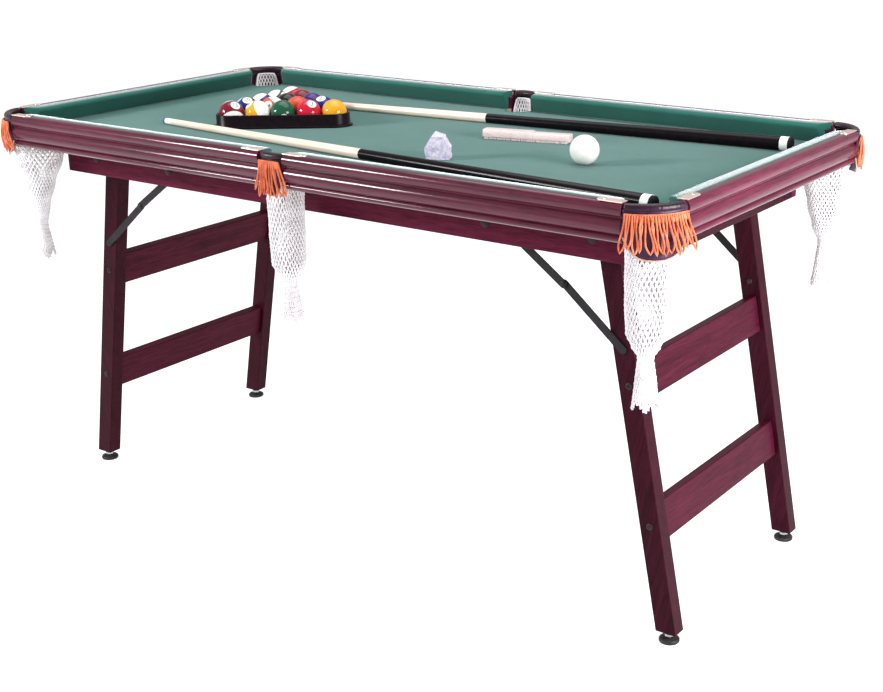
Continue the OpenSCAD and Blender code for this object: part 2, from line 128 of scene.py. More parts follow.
# Game set
BALL_R = 25.4
BALL_STEP = 2 * BALL_R + 0.2
RACK_A = math.radians(36.6)
RACK_AT = Vector((-331, 4, 0))


# ---------------------------------------------------------------- shapes

def arc(cx, cy, radius, start, end, steps):
    """Points along an arc whose angles are in degrees."""
    angles = [math.radians(start + (end - start) * i / steps) for i in range(steps + 1)]
    return [(cx + radius * math.cos(a), cy + radius * math.sin(a)) for a in angles]


def circle(radius, count):
    angles = [2 * math.pi * i / count for i in range(count)]
    return [(radius * math.cos(a), radius * math.sin(a)) for a in angles]


def side(sx, sy):
    """Carries a shape drawn for the front right quarter to another quarter."""
    return Matrix.Diagonal((sx, -sy, 1, 1))


def at(x, y, z):
    return Matrix.Translation((x, y, z))


def turn(degrees, axis):
    return Matrix.Rotation(math.radians(degrees), 4, axis)


FACE_FRONT = turn(90, "X")  # +Z becomes -Y


class Shape:
    """Points and faces in millimetres; marks says which material each face takes."""

    def __init__(self, points=(), faces=(), mark=0):
        self.points = [Vector(p) for p in points]
        self.faces = [tuple(face) for face in faces]
        self.marks = [mark] * len(self.faces)

    def add(self, other, matrix=None):
        start = len(self.points)
        self.points += [matrix @ p if matrix else p.copy() for p in other.points]
        self.faces += [tuple(i + start for i in face) for face in other.faces]
        self.marks += other.marks
        return self

    def moved(self, matrix):
        return Shape().add(self, matrix)

    def marked(self, mark):
        self.marks = [mark] * len(self.faces)
        return self


def loft(rings, closed=True, caps=True):
    """Joins rings of equal length; closed rings meet their own start."""
    size = len(rings[0])
    points = [p for ring in rings for p in ring]
    faces = []
    for k in range(len(rings) - 1):
        for i in range(size if closed else size - 1):
            j = (i + 1) % size
            faces.append((k * size + i, k * size + j, (k + 1) * size + j, (k + 1) * size + i))
    if caps:
        faces.append(tuple(range(size)))
        faces.append(tuple(range((len(rings) - 1) * size, len(rings) * size)))
    return Shape(points, faces)


def lathe(profile, segments=40):
    """Turns (radius, height) points about Z."""
    return loft([[(x, y, height) for x, y in circle(max(radius, 0.02), segments)]
                 for radius, height in profile])


def dome(radius, height, segments=32, steps=6):
    """A low domed head standing on Z = 0."""
    rise = [math.radians(90 * i / steps) for i in range(steps + 1)]
    return lathe([(radius, 0), (radius, height * 0.25)]
                 + [(radius * math.cos(a), height * (0.25 + 0.75 * math.sin(a))) for a in rise[1:]],
                 segments)


def prism(outline, low, high):
    return loft([[(x, y, low) for x, y in outline], [(x, y, high) for x, y in outline]])


def block(size, centre=(0, 0, 0)):
    x, y, z = (s / 2 for s in size)
    return prism([(-x, -y), (x, -y), (x, y), (-x, y)], -z, z).moved(at(*centre))


def frames_along(path, closed=False):
    """A tangent and two normals at each point of a path, turning as little as possible."""
    count = len(path)
    tangents = []
    for i in range(count):
        before = path[i - 1] if closed or i else path[0]
        after = path[(i + 1) % count] if closed or i < count - 1 else path[-1]
        tangents.append((after - before).normalized())
    normal = tangents[0].orthogonal().normalized()
    made = []
    for tangent in tangents:
        normal = (normal - tangent * normal.dot(tangent)).normalized()
        made.append((tangent, normal, tangent.cross(normal)))
    return made


def tube(path, radius, sides=8, closed=False):
    """A round tube; radius is a number or a list with one number for each point."""
    path = [Vector(p) for p in path]
    radii = radius if isinstance(radius, list) else [radius] * len(path)
    rings = [[point + r * (x * u + y * v) for x, y in circle(1, sides)]
             for point, r, (_, u, v) in zip(path, radii, frames_along(path, closed))]
    if closed:
        rings.append(rings[0])
    return loft(rings, caps=not closed)


def inset(outline, amount):
    """Moves each point of an anticlockwise outline inward."""
    count = len(outline)
    moved = []
    for i in range(count):
        a, b, c = (Vector(outline[(i + k) % count]) for k in (-1, 0, 1))
        n1 = Vector((-(b - a).y, (b - a).x)).normalized()
        n2 = Vector((-(c - b).y, (c - b).x)).normalized()
        n = (n1 + n2) / max(1 + n1.dot(n2), 0.5)
        moved.append(tuple(b + n * amount))
    return moved


def smooth(s):
    """Eases in and out between 0 and 1."""
    s = min(max(s, 0), 1)
    return s * s * (3 - 2 * s)


def area_of(outline):
    return sum(a[0] * b[1] - b[0] * a[1] for a, b in zip(outline, outline[1:] + outline[:1])) / 2


def anticlockwise(outline):
    return outline if area_of(outline) > 0 else outline[::-1]


def shape_of(work):
    """Takes over the points and faces of a working mesh, and frees it."""
    shape = Shape([v.co.copy() for v in work.verts], [[v.index for v in face.verts] for face in work.faces])
    work.free()
    return shape


# ---------------------------------------------------------------- pieces

def thicken(made, thickness, offset):
    solid = made.modifiers.new("thickness", "SOLIDIFY")
    solid.thickness = thickness * MM
    solid.offset = offset


def round_edges(made, width, sharp):
    edge = made.modifiers.new("rounded edges", "BEVEL")
    edge.width = width * MM
    edge.segments = 3
    edge.limit_method = "ANGLE"
    edge.angle_limit = math.radians(sharp)
    made.modifiers.new("even shading", "WEIGHTED_NORMAL").weight = 100


def piece(name, shape, materials, node, bevel=0, sharp=35, recalc=True):
    """Makes an object of a shape that stands for a CAD node, with that node's body."""
    mesh = bpy.data.meshes.new(name)
    mesh.from_pydata([tuple(p * MM) for p in shape.points], [], shape.faces)
    if recalc:
        work = bmesh.new()
        work.from_mesh(mesh)
        bmesh.ops.recalc_face_normals(work, faces=work.faces)
        work.to_mesh(mesh)
        work.free()
    mesh.polygons.foreach_set("use_smooth", [True] * len(mesh.polygons))
    mesh.polygons.foreach_set("material_index", shape.marks)
    mesh.set_sharp_from_angle(angle=math.radians(sharp))
    for material in materials if isinstance(materials, list) else [materials]:
        mesh.materials.append(material)
    made = bpy.data.objects.new(name, mesh)
    scene.collection.objects.link(made)
    if bevel:
        round_edges(made, bevel, sharp)
    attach(made, BODY_OF[node])
    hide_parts(node)
    return made


# ---------------------------------------------------------------- materials

class Look:
    """A node material under construction."""

    def __init__(self, name, **sockets):
        self.material = bpy.data.materials.new(name)
        self.material.use_nodes = True
        self.tree = self.material.node_tree
        self.shader = self.tree.nodes["Principled BSDF"]
        for socket, value in sockets.items():
            self.shader.inputs[socket.replace("_", " ")].default_value = value

    def feed(self, value, socket):
        """Links an output to a socket, or sets a constant on it."""
        if isinstance(value, bpy.types.NodeSocket):
            self.tree.links.new(value, socket)
        else:
            socket.default_value = value

    def node(self, kind, inputs, **settings):
        made = self.tree.nodes.new(kind)
        for key, value in settings.items():
            setattr(made, key, value)
        for socket, value in inputs.items():
            self.feed(value, made.inputs[socket])
        return made

    def place(self, scale=(1, 1, 1), lean=0.0):
        """Object coordinates, leant about Y and then stretched per axis."""
        here = self.node("ShaderNodeTexCoord", {}).outputs["Object"]
        for socket, value in (("Rotation", (0, lean, 0)), ("Scale", scale)):
            if any(value):
                here = self.node("ShaderNodeMapping", {"Vector": here, socket: value}).outputs["Vector"]
        return here

    def along(self, axis):
        """One of the object coordinates."""
        here = self.node("ShaderNodeTexCoord", {}).outputs["Object"]
        return self.node("ShaderNodeSeparateXYZ", {0: here}).outputs[axis]

    def noise(self, vector, scale, detail=4.0, rough=0.55, distortion=0.0):
        return self.node("ShaderNodeTexNoise", {"Vector": vector, "Scale": scale, "Detail": detail,
                                                "Roughness": rough, "Distortion": distortion}).outputs[0]

    def ramp(self, factor, stops, interpolation="LINEAR"):
        made = self.node("ShaderNodeValToRGB", {"Fac": factor})
        made.color_ramp.interpolation = interpolation
        elements = made.color_ramp.elements
        elements.remove(elements[-1])
        for i, (place, colour) in enumerate(stops):
            element = elements.new(place) if i else elements[0]
            element.position = place
            element.color = (*colour, 1)
        return made.outputs["Color"]

    def mix(self, factor, first, second, blend="MIX"):
        return self.node("ShaderNodeMix", {0: factor, 6: first, 7: second},
                         data_type="RGBA", blend_type=blend).outputs[2]

    def math(self, operation, first, second=0.0):
        return self.node("ShaderNodeMath", {0: first, 1: second}, operation=operation).outputs[0]

    def weigh(self, first, second, share):
        """A mean of two factors; share is the weight of the second."""
        return self.math("ADD", self.math("MULTIPLY", first, 1 - share),
                         self.math("MULTIPLY", second, share))

    def beyond(self, axis, distance):
        """1 where a point lies farther out along an axis than a distance, and 0 elsewhere."""
        return self.math("GREATER_THAN", self.math("ABSOLUTE", self.along(axis)), distance * MM)

    def colour(self, source):
        self.feed(source, self.shader.inputs["Base Color"])

    def tint(self, factor, dark, light, low=0.3, high=0.7):
        self.colour(self.ramp(factor, [(low, dark), (high, light)]))

    def rough(self, factor, low, high):
        spread = self.node("ShaderNodeMapRange", {"Value": factor, "To Min": low, "To Max": high})
        self.feed(spread.outputs[0], self.shader.inputs["Roughness"])

    def bump(self, height, distance, strength):
        made = self.node("ShaderNodeBump", {"Height": height, "Distance": distance * MM,
                                            "Strength": strength})
        self.feed(made.outputs["Normal"], self.shader.inputs["Normal"])


WOOD_TONES = ((0.055, 0.005, 0.017), (0.110, 0.011, 0.034), (0.155, 0.018, 0.050))


def grain_scale(axis, along, across):
    """Stretches a texture out along one axis."""
    return tuple(along if axis == name else across for name in "XYZ")


def cherry_wood(name, axis, painted_shade_factor, gloss, lean=0.0):
    """Dark cherry with streaks and pores along one axis; the shade factor darkens its tones as painted shade,
    and gloss sets its lacquer.
    """
    dark, middle, light = (tuple(c * painted_shade_factor for c in tone) for tone in WOOD_TONES)
    look = Look(name, Specular_IOR_Level=0.05, Coat_Weight=gloss, Coat_IOR=1.36, Coat_Roughness=0.11)
    along = look.place(grain_scale(axis, 1.0, 14.0), lean)
    broad = look.noise(along, 5.0, 3.0, 0.6, 0.8)
    streak = look.noise(along, 26.0, 6.0, 0.65, 0.3)
    pores = look.noise(look.place(grain_scale(axis, 5.0, 160.0), lean), 5.0, 2.0, 0.5)
    colour = look.ramp(look.weigh(broad, streak, 0.45), [(0.30, dark), (0.50, middle), (0.70, light)])
    pits = look.ramp(pores, [(0.36, (0.35, 0.35, 0.35)), (0.46, (1, 1, 1))])
    look.colour(look.mix(0.7, colour, pits, "MULTIPLY"))
    look.rough(streak, 0.30, 0.46)
    look.bump(pores, 0.12, 0.35)
    return look.material


# One wrap, darkened by a different share on each part as painted shade, to follow how dark each part looks
# where the light falls
rail_wood_x = cherry_wood("cherry of the long rails", "X", 0.72, 1.0)
rail_wood_y = cherry_wood("cherry of the end rails", "Y", 0.85, 1.0)
apron_wood_x = cherry_wood("cherry of the long aprons", "X", 0.80, 0.0)
apron_wood_y = cherry_wood("cherry of the end aprons", "Y", 0.24, 0.0)
bar_wood = cherry_wood("cherry of the crossbars", "Y", 0.52, 0.0)
LEG_WOOD = {"left": cherry_wood("cherry up the left legs", "Z", 0.28, 0.0, LEAN),
            "right": cherry_wood("cherry up the right legs", "Z", 0.28, 0.0, -LEAN)}


def green_cloth(name, dark, light, nap, sheen, sheen_rough):
    look = Look(name, Roughness=0.92, Sheen_Weight=sheen, Sheen_Roughness=sheen_rough,
                Sheen_Tint=(0.95, 0.96, 1.0, 1), Specular_IOR_Level=0.1)
    here = look.place()
    cloud = look.noise(here, 9.0, 4.0, 0.6)
    fuzz = look.noise(here, 900.0, 3.0, 0.7)
    look.tint(look.weigh(cloud, fuzz, 0.55), dark, light, 0.32, 0.68)
    look.bump(fuzz, nap, 0.6)
    return look.material


bed_green = green_cloth("napped bed cloth", (0.030, 0.112, 0.095), (0.052, 0.158, 0.136),
                        0.35, 0.14, 0.5)
# The cushion cloth's tones are darker than the bed cloth's, as painted shade on its faces
cushion_green = green_cloth("stretched cushion cloth", (0.011, 0.086, 0.068), (0.025, 0.130, 0.103),
                            0.25, 0.95, 0.32)


def polished_leather(name, dark, light, coat):
    look = Look(name, Specular_IOR_Level=0.2, Coat_Weight=coat, Coat_IOR=1.35, Coat_Roughness=0.25)
    here = look.place()
    grain = look.node("ShaderNodeTexVoronoi", {"Vector": here, "Scale": 420.0}, feature="SMOOTH_F1")
    cloud = look.noise(here, 45.0)
    look.tint(cloud, dark, light, 0.35, 0.68)
    look.rough(cloud, 0.28, 0.45)
    look.bump(grain.outputs["Distance"], 0.25, 0.5)
    return look.material


roll_leather = polished_leather("dark polished leather", (0.010, 0.002, 0.007), (0.026, 0.006, 0.018), 0.4)
skirt_leather = polished_leather("dark plum leather", (0.020, 0.006, 0.022), (0.055, 0.018, 0.050), 0.2)
binding_leather = polished_leather("pale edge binding", (0.42, 0.22, 0.18), (0.62, 0.38, 0.32), 0.1)


def suede():
    look = Look("orange suede thong", Sheen_Weight=0.2, Specular_IOR_Level=0.2)
    here = look.place()
    cloud = look.noise(here, 60.0)
    fuzz = look.noise(here, 1400.0, 2.0)
    look.colour(look.ramp(cloud, [(0.28, (0.46, 0.080, 0.032)), (0.52, (0.62, 0.150, 0.062)),
                                  (0.74, (0.72, 0.25, 0.125))]))
    look.rough(fuzz, 0.7, 0.95)
    look.bump(fuzz, 0.2, 0.6)
    return look.material


def string():
    look = Look("white cotton string", Roughness=0.85, Sheen_Weight=0.4, Specular_IOR_Level=0.25)
    look.tint(look.noise(look.place(), 40.0, 3.0), (0.62, 0.605, 0.63), (0.80, 0.785, 0.80))
    look.bump(look.noise(look.place((700.0, 700.0, 420.0)), 1.0, 1.0), 0.25, 0.7)
    return look.material


def metal(name, dark, light, low, high, stretch=(1, 1, 1), metallic=1.0):
    """Brushed metal or paint; low and high bound its roughness."""
    look = Look(name, Metallic=metallic, Specular_IOR_Level=0.2)
    lines = look.noise(look.place(stretch), 90.0, 5.0, 0.6)
    look.tint(lines, dark, light)
    look.rough(lines, low, high)
    look.bump(lines, 0.04, 0.5)
    return look.material


thong = suede()
cotton = string()
rose_gold = metal("rose gold plate", (0.90, 0.66, 0.58), (0.98, 0.82, 0.76), 0.26, 0.44, (1, 9, 9))
bright_screw = metal("bright screw steel", (0.60, 0.60, 0.61), (0.82, 0.82, 0.83), 0.12, 0.26)
zinc = metal("zinc plated steel", (0.42, 0.42, 0.44), (0.62, 0.62, 0.65), 0.25, 0.45, (12, 1, 12))
black_steel = metal("black painted steel", (0.007, 0.006, 0.008), (0.017, 0.015, 0.018), 0.36, 0.55,
                    metallic=0.0)
pin_steel = metal("dark bolt steel", (0.010, 0.007, 0.009), (0.026, 0.020, 0.024), 0.30, 0.46,
                  metallic=0.0)


def plastic(name, dark, light, low, high, coat=0.0, grain=0.03, spec=0.2):
    """Moulded or lacquered plastic; low and high bound its roughness."""
    look = Look(name, Coat_Weight=coat, Coat_Roughness=0.08, Specular_IOR_Level=spec)
    cloud = look.noise(look.place(), 120.0)
    look.tint(cloud, dark, light)
    look.rough(cloud, low, high)
    look.bump(look.noise(look.place(), 1500.0, 2.0), grain, 0.4)
    return look.material


rack_black = plastic("black moulded rack", (0.004, 0.002, 0.004), (0.008, 0.004, 0.007), 0.22, 0.36,
                     spec=0.12)
foot_black = plastic("black foot plastic", (0.012, 0.011, 0.012), (0.028, 0.026, 0.028), 0.34, 0.50)
rubber = plastic("black rubber", (0.006, 0.005, 0.006), (0.014, 0.012, 0.014), 0.60, 0.80,
                 grain=0.08, spec=0.1)
ivory = plastic("cue ball resin", (0.84, 0.82, 0.78), (0.90, 0.885, 0.85), 0.07, 0.12, coat=0.5,
                grain=0.0)
white_ring = plastic("white ring", (0.82, 0.81, 0.80), (0.90, 0.89, 0.88), 0.12, 0.22, coat=0.3)
black_lacquer = plastic("black lacquer", (0.003, 0.002, 0.003), (0.007, 0.004, 0.006), 0.16, 0.26,
                        grain=0.0, spec=0.12)
digit_black = plastic("ball figures", (0.004, 0.004, 0.005), (0.010, 0.010, 0.011), 0.30, 0.40,
                      grain=0.0, spec=0.1)
leather_tip = plastic("cue tip leather", (0.05, 0.10, 0.20), (0.12, 0.18, 0.30), 0.7, 0.9)


def pale_wood(name, axis, dark, light, coat):
    look = Look(name, Coat_Weight=coat, Coat_Roughness=0.18)
    grain = look.noise(look.place(grain_scale(axis, 1.0, 16.0)), 14.0, 6.0, 0.6, 0.5)
    pores = look.noise(look.place(grain_scale(axis, 6.0, 190.0)), 4.0, 2.0)
    look.colour(look.mix(0.35, look.ramp(grain, [(0.32, dark), (0.68, light)]),
                         look.ramp(pores, [(0.38, dark), (0.50, (1, 1, 1))]), "MULTIPLY"))
    look.rough(grain, 0.30, 0.48)
    look.bump(pores, 0.08, 0.4)
    return look.material


maple = pale_wood("maple shaft", "Z", (0.76, 0.60, 0.48), (0.90, 0.77, 0.66), 0.5)
brush_wood = pale_wood("pale brush wood", "X", (0.70, 0.57, 0.56), (0.80, 0.67, 0.65), 0.1)
bristle = plastic("pale bristles", (0.68, 0.55, 0.54), (0.80, 0.67, 0.65), 0.55, 0.8)


def board():
    look = Look("raw fibreboard", Roughness=0.9, Specular_IOR_Level=0.2)
    flecks = look.noise(look.place(), 900.0, 4.0, 0.7)
    cloud = look.noise(look.place(), 14.0, 3.0)
    look.tint(look.weigh(flecks, cloud, 0.4), (0.26, 0.17, 0.10), (0.52, 0.37, 0.23))
    look.bump(flecks, 0.15, 0.5)
    return look.material


def chalk_block():
    look = Look("blue chalk", Roughness=0.95)
    dust = look.noise(look.place(), 600.0, 5.0, 0.7)
    look.tint(dust, (0.10, 0.20, 0.50), (0.22, 0.36, 0.70))
    look.bump(dust, 0.4, 0.6)
    return look.material


def chalk_paper():
    """White paper with plain pale blue bands round the cubes, darkened in the dips of its crease bump as
    painted shade.
    """
    look = Look("chalk paper", Roughness=0.6)
    bands = look.ramp(look.math("FRACT", look.math("MULTIPLY", look.along("Z"), 90.0)),
                      [(0.0, (0.86, 0.86, 0.92)), (0.30, (0.34, 0.42, 0.74)), (0.62, (0.86, 0.84, 0.90))],
                      "CONSTANT")
    crease_height_and_shade = look.noise(look.place(), 300.0)
    look.colour(look.mix(0.25, bands, look.ramp(crease_height_and_shade, [(0.3, (0.75, 0.75, 0.85)), (0.7, (1, 1, 1))]),
                         "MULTIPLY"))
    look.bump(crease_height_and_shade, 0.2, 0.4)
    return look.material


def film():
    look = Look("clear wrapping film", Roughness=0.22, Alpha=0.72, Specular_IOR_Level=0.6)
    # The film's colour follows its crease bump: darker lavender in the dips as painted shade, near white on
    # the crests as painted highlight
    crease_height_and_shade = look.noise(look.place(), 180.0, 5.0, 0.7, 0.8)
    look.colour(look.ramp(crease_height_and_shade, [(0.36, (0.50, 0.46, 0.80)), (0.50, (0.80, 0.74, 0.88)),
                                    (0.60, (0.95, 0.90, 0.93))]))
    look.bump(crease_height_and_shade, 1.2, 0.8)
    return look.material


# ---------------------------------------------------------------- rails and cushions

def rail_outline():
    """Cross-section as (distance inward, height): three reeds, the cloth seat and the bed seat."""
    recess = 7
    upper_r, upper_z = 12.1, TOP - 11
    lower_r, lower_z = 15.6, TOP - 36
    lip_r, lip_d, lip_z = 5.1, 8.1, TOP - 54
    top_a = math.degrees(math.asin((TOP - upper_z) / upper_r))
    upper_a = 180 - math.degrees(math.acos((upper_r - recess) / upper_r))
    lower_a = 180 - math.degrees(math.acos((lower_r - recess) / lower_r))
    lip_a = 180 - math.degrees(math.acos((lip_d - recess) / lip_r))
    outline = arc(upper_r, upper_z, upper_r, 180 - top_a, 360 - upper_a, 16)
    outline += arc(lower_r, lower_z, lower_r, lower_a, 360 - lower_a, 18)
    outline += arc(lip_d, lip_z, lip_r, lip_a, 360 - lip_a, 9)[1:]
    outline += [(recess + 1, RAIL_Z), (BED_D, RAIL_Z), (BED_D, PLAY_Z + 0.2), (RAIL_D, PLAY_Z + 0.2),
                (RAIL_D, SEAT_Z), (WOOD_STRIP, SEAT_Z), (WOOD_STRIP, TOP - 0.4), (WOOD_STRIP - 0.4, TOP)]
    return anticlockwise(outline)


def rail(x0, x1, half):
    outline = rail_outline()
    edge = 0.7
    small = inset(outline, edge)
    steps = [(x0, small), (x0 + edge, outline), (x1 - edge, outline), (x1, small)]
    return loft([[(x, d - half, z) for d, z in ring] for x, ring in steps])


def cushion_outline():
    """Rubber nose under stretched cloth, as (distance inward, height)."""
    crown = [(WOOD_STRIP, TOP - 3), (WOOD_STRIP + 0.4, TOP - 0.9), (WOOD_STRIP + 2, TOP + 0.1),
             (WOOD_STRIP + 8, TOP + 0.2), (WOOD_STRIP + 18, TOP - 0.5), (WOOD_STRIP + 25, TOP - 1.7)]
    nose = arc(NOSE_D - 4.4, TOP - 7.6, 4.4, 70, -40, 8)
    face = [(NOSE_D - 6, TOP - 17), (NOSE_D - 12, TOP - 28), (NOSE_D - 15.4, PLAY_Z + 1.5),
            (NOSE_D - 16, PLAY_Z + 0.3), (RAIL_D + 0.2, PLAY_Z + 0.3), (RAIL_D + 0.2, SEAT_Z + 0.2),
            (WOOD_STRIP, SEAT_Z + 0.2)]
    return crown + nose + face


def cushion(b0, b1, n0, n1, half):
    """A cushion with slanted, rounded jaws: b are its ends at the wood, n at the nose."""
    rings = 26
    outline = anticlockwise(cushion_outline())
    jaw = [(0, 2.6), (0.6, 1.2), (1.8, 0.4)]
    places = [(0, push, shrink) for push, shrink in jaw]
    places += [(i / rings, 4 * (1 - 2 * i / rings), 0) for i in range(rings + 1)]
    places += [(1, -push, shrink) for push, shrink in reversed(jaw)]
    loops = []
    for t, push, shrink in places:
        loop = []
        for d, z in inset(outline, shrink) if shrink else outline:
            s = min(max((d - WOOD_STRIP) / (NOSE_D - WOOD_STRIP), 0), 1)
            start = b0 + (n0 - b0) * s
            stop = b1 + (n1 - b1) * s
            loop.append((start + (stop - start) * t + push, d - half, z))
        loops.append(loop)
    return loft(loops)


def rail_and_cushion(name, moulding, pad, wood):
    piece(f"rail_{name}_moulding", moulding, wood, f"rail_{name}", sharp=40)
    made = piece(f"cushion_{name}_cloth", pad, cushion_green, f"cushion_{name}", sharp=50)


QUARTERS = {f"{y_name}_{x_name}": side(sx, sy)
            for y_name, sy in SIDES.items() for x_name, sx in ENDS.items()}
for name, place in QUARTERS.items():
    stop = HALF_L - CORNER_CUT
    pad = cushion(MIDDLE_GAP, stop, MIDDLE_NOSE_GAP, HALF_L - CORNER_NOSE_CUT, HALF_W)
    rail_and_cushion(name, rail(MIDDLE_GAP, stop, HALF_W).moved(place), pad.moved(place), rail_wood_x)
for name, sx in ENDS.items():
    stop = HALF_W - CORNER_CUT
    nose_stop = HALF_W - CORNER_NOSE_CUT
    place = Matrix.Diagonal((sx, 1, 1, 1)) @ turn(90, "Z")
    pad = cushion(-stop, stop, -nose_stop, nose_stop, HALF_L)
    rail_and_cushion(name, rail(-stop, stop, HALF_L).moved(place), pad.moved(place), rail_wood_y)


# ---------------------------------------------------------------- bed

def cloth_quarter():
    """A quarter of the cloth's plan, anticlockwise from the middle pocket, as points that each
    say whether they lie on a pocket's edge."""
    limits = (HALF_L - RAIL_D - 1, HALF_W - RAIL_D - 1)
    steps = 20

    def cheek(start, direction):
        """Where a straight line out of a pocket meets the cloth's straight edge."""
        start = Vector(start)
        point = start + direction * 60
        for axis, limit in enumerate(limits):
            if abs(point[axis]) > limit:
                wanted = math.copysign(limit, point[axis])
                point = start + (point - start) * ((wanted - start[axis]) / (point[axis] - start[axis]))
        return tuple(point), False

    def pocket_edge(centre, radius, direction):
        """The inner half of a pocket's edge between two cheeks."""
        out = math.degrees(math.atan2(direction.y, direction.x))
        inner = arc(*centre, radius, out - 90, out - 270, steps)
        return [cheek(inner[0], direction), *((p, True) for p in inner), cheek(inner[-1], direction)]

    middle = pocket_edge((0, MIDDLE_INSET - HALF_W), MIDDLE_R, Vector((0, -1)))
    corner = pocket_edge((HALF_L - CORNER_INSET, CORNER_INSET - HALF_W), CORNER_R,
                         Vector((1, -1)).normalized())
    return middle[steps // 2 + 1:] + corner


def bed_cloth():
    """The stretched cloth, with its edge rolled down over each pocket's rim."""
    outline = []
    for sx, sy in ((1, -1), (1, 1), (-1, 1), (-1, -1)):
        part = [((x * sx, y * -sy), lip) for (x, y), lip in cloth_quarter()]
        outline += part if sx * sy < 0 else part[:0:-1]
    count = len(outline)
    edge_roll = [(0.0, 0.0), (0.5, -0.2), (0.9, -0.8), (1.0, -2.0), (1.0, -9.0)]
    rings = []
    for reach, drop in edge_roll:
        ring = []
        for i, (point, lip) in enumerate(outline):
            along = (Vector(outline[(i + 1) % count][0]) - Vector(outline[i - 1][0])).normalized()
            moved = Vector(point) + Vector((along.y, -along.x)) * (reach if lip else 0)
            ring.append((moved.x, moved.y, PLAY_Z + (drop if lip else 0)))
        rings.append(ring)
    shape = loft(rings, caps=False)
    on_lip = [lip for _, lip in outline]
    faces = [face for face in shape.faces if on_lip[face[0] % count] and on_lip[face[1] % count]]
    return Shape(shape.points, [tuple(range(count))] + faces)


def close_up(mesh):
    """Splits the cloth's large face, drops stray points and gives the area."""
    work = bmesh.new()
    work.from_mesh(mesh)
    bmesh.ops.triangulate(work, faces=[face for face in work.faces if len(face.verts) > 4])
    bmesh.ops.delete(work, geom=[v for v in work.verts if not v.link_faces], context="VERTS")
    area = sum(face.calc_area() for face in work.faces)
    work.to_mesh(mesh)
    work.free()
    return area


cloth = piece("bed_cloth_sheet", bed_cloth(), bed_green, "bed_cloth", recalc=False)
cloth_area = close_up(cloth.data)
thicken(cloth, 1.0, -1)

bed_board = bpy.data.objects["bed_board"]
bed_board.data.materials.clear()
bed_board.data.materials.append(board())


# ---------------------------------------------------------------- aprons, bolts and spacers

for name, wood in (("front", apron_wood_x), ("back", apron_wood_x),
                   ("left", apron_wood_y), ("right", apron_wood_y)):
    low, high = node_box(f"apron_{name}")
    piece(f"apron_{name}_board", block(high - low, (low + high) / 2), wood, f"apron_{name}", bevel=1.2)


def hex_nut(across, height):
    outline = circle(across / math.sqrt(3), 6)
    return loft([[(x * s, y * s, z) for x, y in outline]
                 for s, z in ((0.93, 0), (1, 0.6), (1, height - 0.6), (0.93, height))])


def apron_bolt(nut_y, nut_t):
    """A domed bolt through the front apron, pointing to -Y, with a washer and a nut inside."""
    shape = lathe([(8.0, 0), (8.0, 0.8), (7.6, 1.2)]).moved(at(0, -APRON_Y, 0) @ FACE_FRONT)
    shape.add(dome(7.0, 1.9), at(0, -APRON_Y - 1.1, 0) @ FACE_FRONT)
    shank = APRON_Y - nut_y + nut_t + 2
    shape.add(lathe([(3.4, 0), (3.9, 0.6), (3.9, shank)]), at(0, -nut_y + nut_t + 2, 0) @ FACE_FRONT)
    shape.add(hex_nut(12.5, nut_t), at(0, -nut_y + nut_t, 0) @ FACE_FRONT)
    return shape


def spacer(inner):
    """A sleeve with softened ends, from a distance off the middle out to the apron."""
    length = APRON_IN_Y - inner
    sleeve = lathe([(4.2, 0), (7.2, 0), (8, 0.8), (8, length - 0.8), (7.2, length), (4.2, length)])
    return sleeve.moved(at(0, -inner, 0) @ FACE_FRONT)


bolts = Shape()
spacers = Shape()
for sx in ENDS.values():
    for sy in SIDES.values():
        place = side(sx, sy)
        for pivot, nut_y, nut_t, inner in ((HINGE, POST_OUT - POST_Y - 6, 5.5, POST_OUT + 0.5),
                                           (STAY, POST_OUT + 0.7 + ARM_T, ARM_T, POST_OUT + 7.4)):
            bolts.add(apron_bolt(nut_y, nut_t), place @ at(pivot.x, 0, pivot.z))
            spacers.add(spacer(inner), place @ at(pivot.x, 0, pivot.z))
piece("apron_bolt_set", bolts, pin_steel, "apron_bolts")
piece("pivot_spacer_set", spacers, zinc, "pivot_spacers")


# ---------------------------------------------------------------- pockets

CORNER = {"centre": (HALF_L - CORNER_ARC_INSET, CORNER_ARC_INSET - HALF_W), "middle_a": -45,
          "radius": CORNER_ARC_R, "half_a": CORNER_ARC_A, "skirt_out": 5.2}
MIDDLE = {"centre": (0, MIDDLE_ARC_INSET - HALF_W), "middle_a": -90,
          "radius": MIDDLE_ARC_R, "half_a": MIDDLE_ARC_A, "skirt_out": 3.6}


def around(pocket, radius, degrees, z):
    """A point at an angle from the middle of a pocket's arc."""
    a = math.radians(pocket["middle_a"] + degrees)
    return Vector((pocket["centre"][0] + radius * math.cos(a), pocket["centre"][1] + radius * math.sin(a), z))


def leather_roll(pocket):
    """A padded roll that narrows and tucks in at the rail ends, with fine gathers."""
    steps = 64
    tuck_from = 0.93
    path, radii = [], []
    for i in range(steps + 1):
        t = 2 * i / steps - 1
        tuck = math.sqrt(1 - 0.75 * (max(abs(t) - tuck_from, 0) / (1 - tuck_from)) ** 2)
        gathers = 1 + 0.018 * math.cos(t * 60) + 0.012 * math.cos(t * 37 + 1)
        radii.append((ROLL_R - 0.5 * abs(t) ** 3) * tuck * gathers)
        path.append(around(pocket, pocket["radius"], t * pocket["half_a"], ROLL_Z - 0.4 * abs(t) ** 4))
    return tube(path, radii, 24)


# The skirt hangs from inside the roll and is slightly narrower than it
SKIRT_TOP = ROLL_Z - 2
SKIRT_SHARE = 0.99


def skirt_foot(t, drop):
    """Height of the skirt's rounded lower edge."""
    return TOP - 6 - drop + 34 * abs(t) ** 3.2


def skirt_point(pocket, t, down, z, out=0):
    """A point of the softly folded skirt; t runs across it from -1 to 1 and down from 0 to 1."""
    fold = 0.9 * math.sin(t * 9 + 0.6) * down
    radius = pocket["radius"] + pocket["skirt_out"] + fold - 1.5 * down * abs(t) + out
    return around(pocket, radius, t * pocket["half_a"] * SKIRT_SHARE, z)


